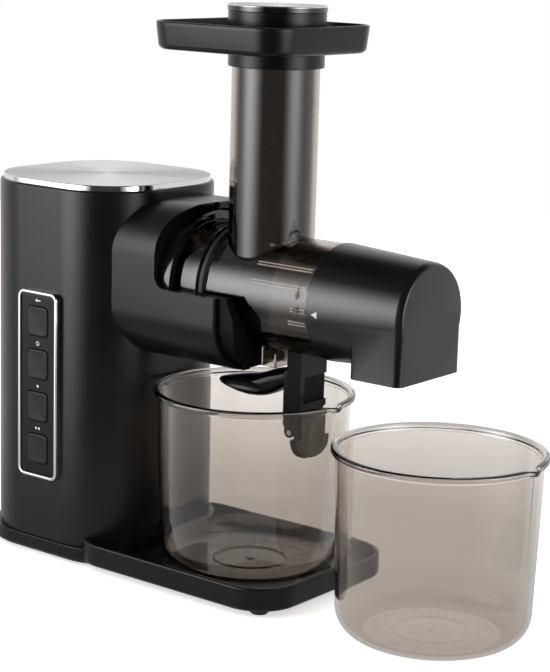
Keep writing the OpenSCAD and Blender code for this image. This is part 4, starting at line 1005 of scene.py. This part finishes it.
def build_signs(spots, front, back):
    """Printed signs, one above each key: an arrow, a ring, one dot and two dots."""
    def printed(name, spot, outline, shift=0.0):
        sign = slab_y(name, [(spot[0] + shift + x, spot[1] + z) for x, z in outline], front, back)
        finish_piece(sign, MATERIALS["mark"], "stand", "gloss_black")

    arrow = [(-2.2, 0), (-0.6, 1.2), (-0.6, 0.4), (2.2, 0.4), (2.2, -0.4), (-0.6, -0.4), (-0.6, -1.2)]
    dot = circle(0.8, 20)
    printed("sign_1_0", spots[0], arrow)
    ring = [[at(spots[1][0] + x, y, spots[1][1] + z) for x, z in circle(r, 28)]
            for r, y in ((1.3, back), (1.3, front), (0.8, front), (0.8, back))]
    finish_piece(loft("sign_2", ring, closed=True), MATERIALS["mark"], "stand", "gloss_black")
    printed("sign_3_0", spots[2], dot)
    printed("sign_4_0", spots[3], dot, -1.3)
    printed("sign_4_1", spots[3], dot, 1.3)


def build_marks(sizes):
    """Triangle printed on the cap, and the arrow and padlock moulded on the drum."""
    def raised(name, points, depth, height):
        """Low relief. points is a list of (x, angle, radius) on the surface."""
        return loft(name, [[on_drum(sizes, x, a, r + lift) for x, a, r in points]
                           for lift in (-depth, height)])

    low, high = from_column("end_cap")
    slope = (CAP_RIM_RADIUS - CAP_TIP_RADIUS) / (high.x - low.x)
    triangle = [(x, a, CAP_RIM_RADIUS - (x - low.x) * slope)
                for x, a in ((185.1, 3.5), (188.8, 0.0), (188.8, 6.8))]
    finish_piece(raised("cap_mark", triangle, 0.1, 0.12), MATERIALS["mark"], "cap_group", "soft_black")

    arrow = [(174.3, -30), (174.9, -30), (175.3, -13.5), (176.2, -13.5), (174.6, -8.2), (173.0, -13.5),
             (173.9, -13.5)]
    arrow = raised("drum_arrow", [(x, a, DRUM_RADIUS) for x, a in arrow], 0.05, 0.5)
    finish_piece(arrow, MATERIALS["etched"], "stand", "smoky_clear")

    lock_x, lock_angle, lock_radius, turn_per_mm = 174.6, 3.4, 34.2, math.degrees(1 / 34.3)
    case = [(lock_x + x, lock_angle + z * turn_per_mm, lock_radius)
            for x, z in rounded_rect(1.7, 1.3, 0.4, 3)]
    finish_piece(raised("lock_case", case, 0.9, 0.35), MATERIALS["etched"], "stand", "smoky_clear")
    hoop = []
    for r, lift in ((1.35, -0.9), (1.35, 0.3), (0.75, 0.3), (0.75, -0.9)):
        hoop.append([on_drum(sizes, lock_x + x, lock_angle - (1.5 + z) * turn_per_mm, lock_radius + lift)
                     for x, z in arc(0, 0, r, -10, 190, 20)])
    hoop = loft("lock_hoop", [list(row) for row in zip(*hoop)])
    finish_piece(hoop, MATERIALS["etched"], "stand", "smoky_clear")


def dress_nodes():
    """Gives every CAD node that stays visible its material."""
    dress(MATERIALS["satin"], "bottom_plate", "cord_inlet")
    dress(MATERIALS["rubber"], "feet", "drum_seal", "shaft_seal")
    dress(MATERIALS["silicone"], "cap_seal", "screw_seal")
    dress(MATERIALS["steel"], "base_screws", "frame_screws", "collar_screws", "idler_axle", "output_shaft",
          "ball_bearing", "screw_pin", "lever_pin", "motor_pinion")
    dress(MATERIALS["sheet"], "motor_can")
    dress(MATERIALS["cast"], "motor_front_bell", "motor_rear_bell", "frame_rear", "frame_front")
    dress(MATERIALS["copper"], "rotor")
    dress(MATERIALS["nylon"], "fan", "idler_gear", "output_gear", "end_bush")
    dress(MATERIALS["board"], "switch_board", "control_board")
    dress(MATERIALS["parts"], "tact_switches", "control_parts")
    dress(MATERIALS["gloss"], "bayonet_ring")
    dress(MATERIALS["strainer"], "strainer")
    dress(MATERIALS["screw"], "screw")


# ---------------------------------------------------------------- studio


def softbox(name, bearing, distance, height, size, radiance, aim_height=None):
    """Large lamp at a bearing in degrees around the object, with its other measures in metres.

    With an aim it gives even, shadowing light; without one it stands upright, fades towards its edges
    and shows only in gloss."""
    middle = at(110, 0, 0)  # of the object, at table height
    a = math.radians(bearing)
    place = middle + Vector((math.cos(a) * distance, math.sin(a) * distance, height))
    data = bpy.data.lights.new(name, "AREA")
    data.shape = "RECTANGLE"
    data.size, data.size_y = size
    data.energy = radiance * math.pi * size[0] * size[1]
    obj = bpy.data.objects.new(name, data)
    obj.location = place
    aim = middle + Vector((0, 0, height if aim_height is None else aim_height))
    obj.rotation_euler = (aim - place).to_track_quat("-Z", "Y").to_euler()
    obj.visible_camera = False
    obj.visible_transmission = False
    bpy.context.scene.collection.objects.link(obj)
    if aim_height is not None:
        obj.visible_glossy = False
    else:
        obj.visible_diffuse = False
        fade_to_edges(data)


def fade_to_edges(lamp):
    """Makes a lamp's face fall off from its middle as a bell curve does."""
    # The face's edge lies this many standard deviations from its middle.
    deviations = 2.6
    t = clear_tree(lamp)
    place = add(t, "ShaderNodeNewGeometry")
    off = add(t, "ShaderNodeVectorMath", {1: (0.5, 0.5, 0.0)}, {0: place.outputs["Parametric"]},
              operation="SUBTRACT")
    flat = add(t, "ShaderNodeVectorMath", {1: (2.0, 2.0, 0.0)}, {0: off.outputs["Vector"]},
               operation="MULTIPLY")
    square = add(t, "ShaderNodeVectorMath", links={0: flat.outputs["Vector"], 1: flat.outputs["Vector"]},
                 operation="DOT_PRODUCT")
    power = add(t, "ShaderNodeMath", {1: -deviations ** 2 / 2}, {0: square.outputs["Value"]},
                operation="MULTIPLY")
    fall = add(t, "ShaderNodeMath", links={0: power.outputs[0]}, operation="EXPONENT")
    face = add(t, "ShaderNodeEmission", links={"Strength": fall.outputs[0]})
    add(t, "ShaderNodeOutputLight", links={"Surface": face.outputs[0]})


def build_floor(look):
    """Matt white floor that turns into the white surroundings, and that casts no shadow itself."""
    radius, points = 1.6, 128
    floor = new_object("floor", [(x, y, 0) for x, y in circle(radius, points)], [tuple(range(points))])
    m, t, place = start("Studio floor, matt white")
    reach = add(t, "ShaderNodeVectorMath", links={0: place.outputs["Object"]}, operation="LENGTH")
    path = add(t, "ShaderNodeLightPath")
    diffuse = add(t, "ShaderNodeBsdfDiffuse", {"Color": (0.86, 0.86, 0.86, 1)})
    clear = add(t, "ShaderNodeBsdfTransparent")

    # Seen by the camera, it is white towards its rim and keeps the shadow in the middle.
    fade = add(t, "ShaderNodeMapRange", between(look.floor_glow, 1.0, 0.35, 1.2),
               {"Value": reach.outputs["Value"]})
    glow = add(t, "ShaderNodeEmission", links={"Strength": fade.outputs["Result"]})
    lit = add(t, "ShaderNodeAddShader", links={0: diffuse.outputs[0], 1: glow.outputs[0]})
    # Seen through clear plastic, it glows less under the object: a painted shadow beneath the beakers.
    through_shadow_fade = add(t, "ShaderNodeMapRange", between(look.floor_through_shadow, 1.0, 0.15, 0.34),
              {"Value": reach.outputs["Value"]})
    through = add(t, "ShaderNodeEmission", links={"Strength": through_shadow_fade.outputs["Result"]})
    # In gloss, it shows close by, and further out what lies beyond it shows instead.
    far = add(t, "ShaderNodeMapRange", between(0.0, 1.0, 0.22, 0.5), {"Value": reach.outputs["Value"]})
    near = add(t, "ShaderNodeEmission", {"Strength": look.floor_gloss})
    mirrored = add(t, "ShaderNodeMixShader",
                   links={0: far.outputs["Result"], 1: near.outputs[0], 2: clear.outputs[0]})

    shown = diffuse
    for ray, shader in (("Camera", lit), ("Transmission", through), ("Glossy", mirrored), ("Shadow", clear)):
        shown = add(t, "ShaderNodeMixShader",
                    links={0: path.outputs["Is %s Ray" % ray], 1: shown.outputs[0], 2: shader.outputs[0]})
    add(t, "ShaderNodeOutputMaterial", links={"Surface": shown.outputs[0]})
    floor.data.materials.append(m)


def build_world(look):
    """Plain soft light all round, seen as white by the camera and through clear plastic."""
    world = bpy.data.worlds.new("Studio")
    bpy.context.scene.world = world
    t = clear_tree(world)
    place = add(t, "ShaderNodeTexCoord")
    path = add(t, "ShaderNodeLightPath")
    # Gloss and metal show the white backdrop behind the object,
    # and a dimmer room on the other side and above.
    to_backdrop = (-0.34, 0.94, 0.0)
    side = add(t, "ShaderNodeVectorMath", {1: to_backdrop}, {0: place.outputs["Generated"]},
               operation="DOT_PRODUCT")
    behind = add(t, "ShaderNodeMapRange", between(0.0, 1.0, -0.35, 0.05), {"Value": side.outputs["Value"]})
    split = add(t, "ShaderNodeSeparateXYZ", links={"Vector": place.outputs["Generated"]})
    low = add(t, "ShaderNodeMapRange", between(1.0, 0.0, 0.55, 0.8), {"Value": split.outputs["Z"]})
    backdrop = add(t, "ShaderNodeMath", links={0: behind.outputs["Result"], 1: low.outputs["Result"]},
                   operation="MULTIPLY")
    level = add(t, "ShaderNodeMapRange", between(look.room_mirror, 1.0, 0.0, 1.0),
                {"Value": backdrop.outputs[0]})

    plain = {"Color": (1, 1, 1, 1)}
    room = add(t, "ShaderNodeBackground", {**plain, "Strength": look.world_light})
    mirrored = add(t, "ShaderNodeBackground", plain, {"Strength": level.outputs["Result"]})
    white = add(t, "ShaderNodeBackground", {**plain, "Strength": 1.0})
    unseen = add(t, "ShaderNodeMixShader",
                 links={0: path.outputs["Is Glossy Ray"], 1: room.outputs[0], 2: mirrored.outputs[0]})
    seen = add(t, "ShaderNodeMath",
               links={0: path.outputs["Is Camera Ray"], 1: path.outputs["Is Transmission Ray"]},
               operation="MAXIMUM")
    shown = add(t, "ShaderNodeMixShader",
                links={0: seen.outputs[0], 1: unseen.outputs[0], 2: white.outputs[0]})
    add(t, "ShaderNodeOutputWorld", links={"Surface": shown.outputs[0]})


def place_camera(look):
    """Camera from its place, turn, tilt and roll."""
    yaw, pitch, roll = look.yaw, look.pitch, look.roll
    forward = Vector((-math.sin(yaw) * math.cos(pitch), math.cos(yaw) * math.cos(pitch), -math.sin(pitch)))
    level = Vector((math.cos(yaw), math.sin(yaw), 0))
    upward = level.cross(forward)
    right = level * math.cos(roll) + upward * math.sin(roll)
    up = upward * math.cos(roll) - level * math.sin(roll)
    data = bpy.data.cameras.new("camera")
    data.sensor_width = 36.0
    data.lens = look.lens
    data.clip_end = 50
    camera = bpy.data.objects.new("camera", data)
    camera.matrix_world = (Matrix.Translation(at(*look.camera_place))
                           @ Matrix((right, up, -forward)).transposed().to_4x4())
    bpy.context.scene.collection.objects.link(camera)
    bpy.context.scene.camera = camera


def build_studio(look):
    """Pale floor, plain soft light, white surroundings and the camera."""
    bpy.context.scene.view_settings.view_transform = "Standard"
    build_floor(look)
    build_world(look)
    # Light on the object, from lamps that gloss doesn't show.
    softbox("left_bank", -119, 0.95, 0.62, (0.8, 1.2), look.left_radiance, 0.4)
    softbox("right_bank", -1, 0.95, 0.62, (0.65, 1.2), look.right_radiance, 0.4)
    softbox("top_bank", 120, 0.35, 1.25, (0.9, 0.9), look.top_radiance, 0.2)
    # Soft highlights in gloss, from lamps that light nothing.
    softbox("left_sheen", -118, 1.0, 0.35, (1.4, 1.5), look.left_sheen)
    softbox("right_sheen", 0, 1.0, 0.35, (1.17, 1.5), look.right_sheen)
    place_camera(look)


# ---------------------------------------------------------------- add-on


class JuicerSizes(bpy.types.PropertyGroup):
    """Sizes that the visible pieces take, in millimetres."""
    column_corner: FloatProperty(
        name="Column corner", description="Radius of the column's corners, in mm", default=42.0)
    tray_corner: FloatProperty(
        name="Tray corner", description="Radius of the drip tray's corners, in mm", default=26.0)
    collar_corner: FloatProperty(
        name="Collar corner", description="Radius of the collar's corners, in mm", default=30.0)
    feed_corner: FloatProperty(
        name="Feed tray corner", description="Radius of the feed tray's corners, in mm", default=18.0)
    axis_z: FloatProperty(
        name="Drum height", description="Height of the drum's axis, in mm", default=176.5)


class JuicerLook(bpy.types.PropertyGroup):
    """Colours, lights and camera."""
    black: StringProperty(
        name="Black plastic", description="sRGB code of the satin plastic", default="#0d0d0e")
    smoke: StringProperty(
        name="Beaker", description="sRGB code of the beakers' light tint", default="#eee7e1")
    smoke_dark: StringProperty(
        name="Beaker, deep", description="sRGB code of the beakers' deep tint", default="#e6dfd7")
    drum: StringProperty(
        name="Drum", description="sRGB code of the drum's light tint", default="#b3a79c")
    drum_dark: StringProperty(
        name="Drum, deep", description="sRGB code of the drum's deep tint", default="#a3978c")
    floor_glow: FloatProperty(
        name="Floor glow", description="Whiteness of the floor as seen", default=0.6)
    # Glow of the floor under the object, seen through clear plastic: the depth of a painted shadow.
    floor_through_shadow: FloatProperty(
        name="Floor through plastic", description="Whiteness of the floor seen through clear plastic",
        default=0.45)
    floor_gloss: FloatProperty(
        name="Floor in gloss", description="Whiteness of the near floor in reflections", default=0.6)
    world_light: FloatProperty(
        name="World light", description="Strength of the surroundings", default=0.3)
    room_mirror: FloatProperty(
        name="Room mirror", description="Strength of the near room in reflections", default=0.06)
    left_radiance: FloatProperty(
        name="Left bank", description="Radiance of the left lamp", default=3.2)
    right_radiance: FloatProperty(
        name="Right bank", description="Radiance of the right lamp", default=3.0)
    top_radiance: FloatProperty(
        name="Top bank", description="Radiance of the top lamp", default=1.6)
    left_sheen: FloatProperty(
        name="Left sheen", description="Peak radiance of the left lamp in gloss", default=9.0)
    right_sheen: FloatProperty(
        name="Right sheen", description="Peak radiance of the right lamp in gloss", default=6.0)
    yaw: FloatProperty(
        name="Yaw", description="Turn of the camera", default=0.663225, subtype="ANGLE")
    pitch: FloatProperty(
        name="Pitch", description="Downward tilt of the camera", default=0.208062, subtype="ANGLE")
    roll: FloatProperty(
        name="Roll", description="Roll of the camera", default=0.028294, subtype="ANGLE")
    camera_place: FloatVectorProperty(
        name="Camera place", description="Place from the column's axis, in mm",
        default=(819.16, -876.81, 384.57))
    lens: FloatProperty(
        name="Lens", description="Focal length in mm", default=104.46, unit="CAMERA")


class JUICER_OT_materials(bpy.types.Operator):
    """Makes every material"""
    bl_idname = "juicer.materials"
    bl_label = "Make finishes"

    def execute(self, context):
        make_materials(context.scene.juicer_look)
        return {"FINISHED"}


class JUICER_OT_column(bpy.types.Operator):
    """Builds the column shell and lid"""
    bl_idname = "juicer.column"
    bl_label = "Build column"

    def execute(self, context):
        build_column(context.scene.juicer_sizes)
        return {"FINISHED"}


class JUICER_OT_base(bpy.types.Operator):
    """Builds the skirt and the drip tray"""
    bl_idname = "juicer.base"
    bl_label = "Build base"

    def execute(self, context):
        build_base(context.scene.juicer_sizes)
        return {"FINISHED"}


class JUICER_OT_panel(bpy.types.Operator):
    """Builds the frame, fascia, keys and signs"""
    bl_idname = "juicer.panel"
    bl_label = "Build panel"

    def execute(self, context):
        build_panel()
        return {"FINISHED"}


class JUICER_OT_collar(bpy.types.Operator):
    """Builds the collar, its arm and the cradle"""
    bl_idname = "juicer.collar"
    bl_label = "Build collar"

    def execute(self, context):
        build_collar(context.scene.juicer_sizes)
        return {"FINISHED"}


class JUICER_OT_drum(bpy.types.Operator):
    """Builds the clear drum and chute"""
    bl_idname = "juicer.drum"
    bl_label = "Build drum"

    def execute(self, context):
        build_drum(context.scene.juicer_sizes)
        return {"FINISHED"}


class JUICER_OT_cap(bpy.types.Operator):
    """Builds the end cap and pulp spout"""
    bl_idname = "juicer.cap"
    bl_label = "Build end cap"

    def execute(self, context):
        build_cap(context.scene.juicer_sizes)
        return {"FINISHED"}


class JUICER_OT_feed_tray(bpy.types.Operator):
    """Builds the feed tray"""
    bl_idname = "juicer.feed_tray"
    bl_label = "Build feed tray"

    def execute(self, context):
        build_feed_tray(context.scene.juicer_sizes)
        return {"FINISHED"}


class JUICER_OT_pusher(bpy.types.Operator):
    """Builds the pusher and its disc"""
    bl_idname = "juicer.pusher"
    bl_label = "Build pusher"

    def execute(self, context):
        build_pusher()
        return {"FINISHED"}


class JUICER_OT_beakers(bpy.types.Operator):
    """Builds both beakers"""
    bl_idname = "juicer.beakers"
    bl_label = "Build beakers"

    def execute(self, context):
        build_beaker("beaker_under_tap", "jug", "juice_beaker")
        build_beaker("beaker_spare", "spare_jug", "spare_beaker")
        return {"FINISHED"}


class JUICER_OT_tap(bpy.types.Operator):
    """Builds the tap lever and the outlet block"""
    bl_idname = "juicer.tap"
    bl_label = "Build tap"

    def execute(self, context):
        build_lever()
        build_outlet(context.scene.juicer_sizes)
        return {"FINISHED"}


class JUICER_OT_marks(bpy.types.Operator):
    """Builds the printed and moulded marks"""
    bl_idname = "juicer.marks"
    bl_label = "Build marks"

    def execute(self, context):
        build_marks(context.scene.juicer_sizes)
        return {"FINISHED"}


class JUICER_OT_dressing(bpy.types.Operator):
    """Gives every other part its material"""
    bl_idname = "juicer.dressing"
    bl_label = "Dress other parts"

    def execute(self, context):
        dress_nodes()
        return {"FINISHED"}


class JUICER_OT_studio(bpy.types.Operator):
    """Builds floor, lights and camera"""
    bl_idname = "juicer.studio"
    bl_label = "Build studio"

    def execute(self, context):
        build_studio(context.scene.juicer_look)
        return {"FINISHED"}


OPERATORS = [
    JUICER_OT_materials, JUICER_OT_column, JUICER_OT_base, JUICER_OT_panel, JUICER_OT_collar, JUICER_OT_drum,
    JUICER_OT_cap, JUICER_OT_feed_tray, JUICER_OT_pusher, JUICER_OT_beakers, JUICER_OT_tap, JUICER_OT_marks,
    JUICER_OT_dressing, JUICER_OT_studio,
]


class JUICER_PT_panel(bpy.types.Panel):
    """Sidebar panel with the sizes, colours and build steps."""
    bl_label = "Juicer"
    bl_idname = "JUICER_PT_panel"
    bl_space_type = "VIEW_3D"
    bl_region_type = "UI"
    bl_category = "Juicer"

    def draw(self, context):
        scene = context.scene
        for group, cls in ((scene.juicer_sizes, JuicerSizes), (scene.juicer_look, JuicerLook)):
            box = self.layout.box()
            for key in cls.__annotations__:
                box.prop(group, key)
        for operator in OPERATORS:
            self.layout.operator(operator.bl_idname)


CLASSES = [JuicerSizes, JuicerLook, *OPERATORS, JUICER_PT_panel]


def register():
    for cls in CLASSES:
        bpy.utils.register_class(cls)
    bpy.types.Scene.juicer_sizes = PointerProperty(type=JuicerSizes)
    bpy.types.Scene.juicer_look = PointerProperty(type=JuicerLook)


def unregister():
    del bpy.types.Scene.juicer_look
    del bpy.types.Scene.juicer_sizes
    for cls in reversed(CLASSES):
        bpy.utils.unregister_class(cls)


def main():
    register()
    build = bpy.ops.juicer
    for step in (build.materials, build.column, build.base, build.panel, build.collar, build.drum, build.cap,
                 build.feed_tray, build.pusher, build.beakers, build.tap, build.marks, build.dressing,
                 build.studio):
        step()
    bpy.context.view_layer.update()


if __name__ == "__main__":
    main()
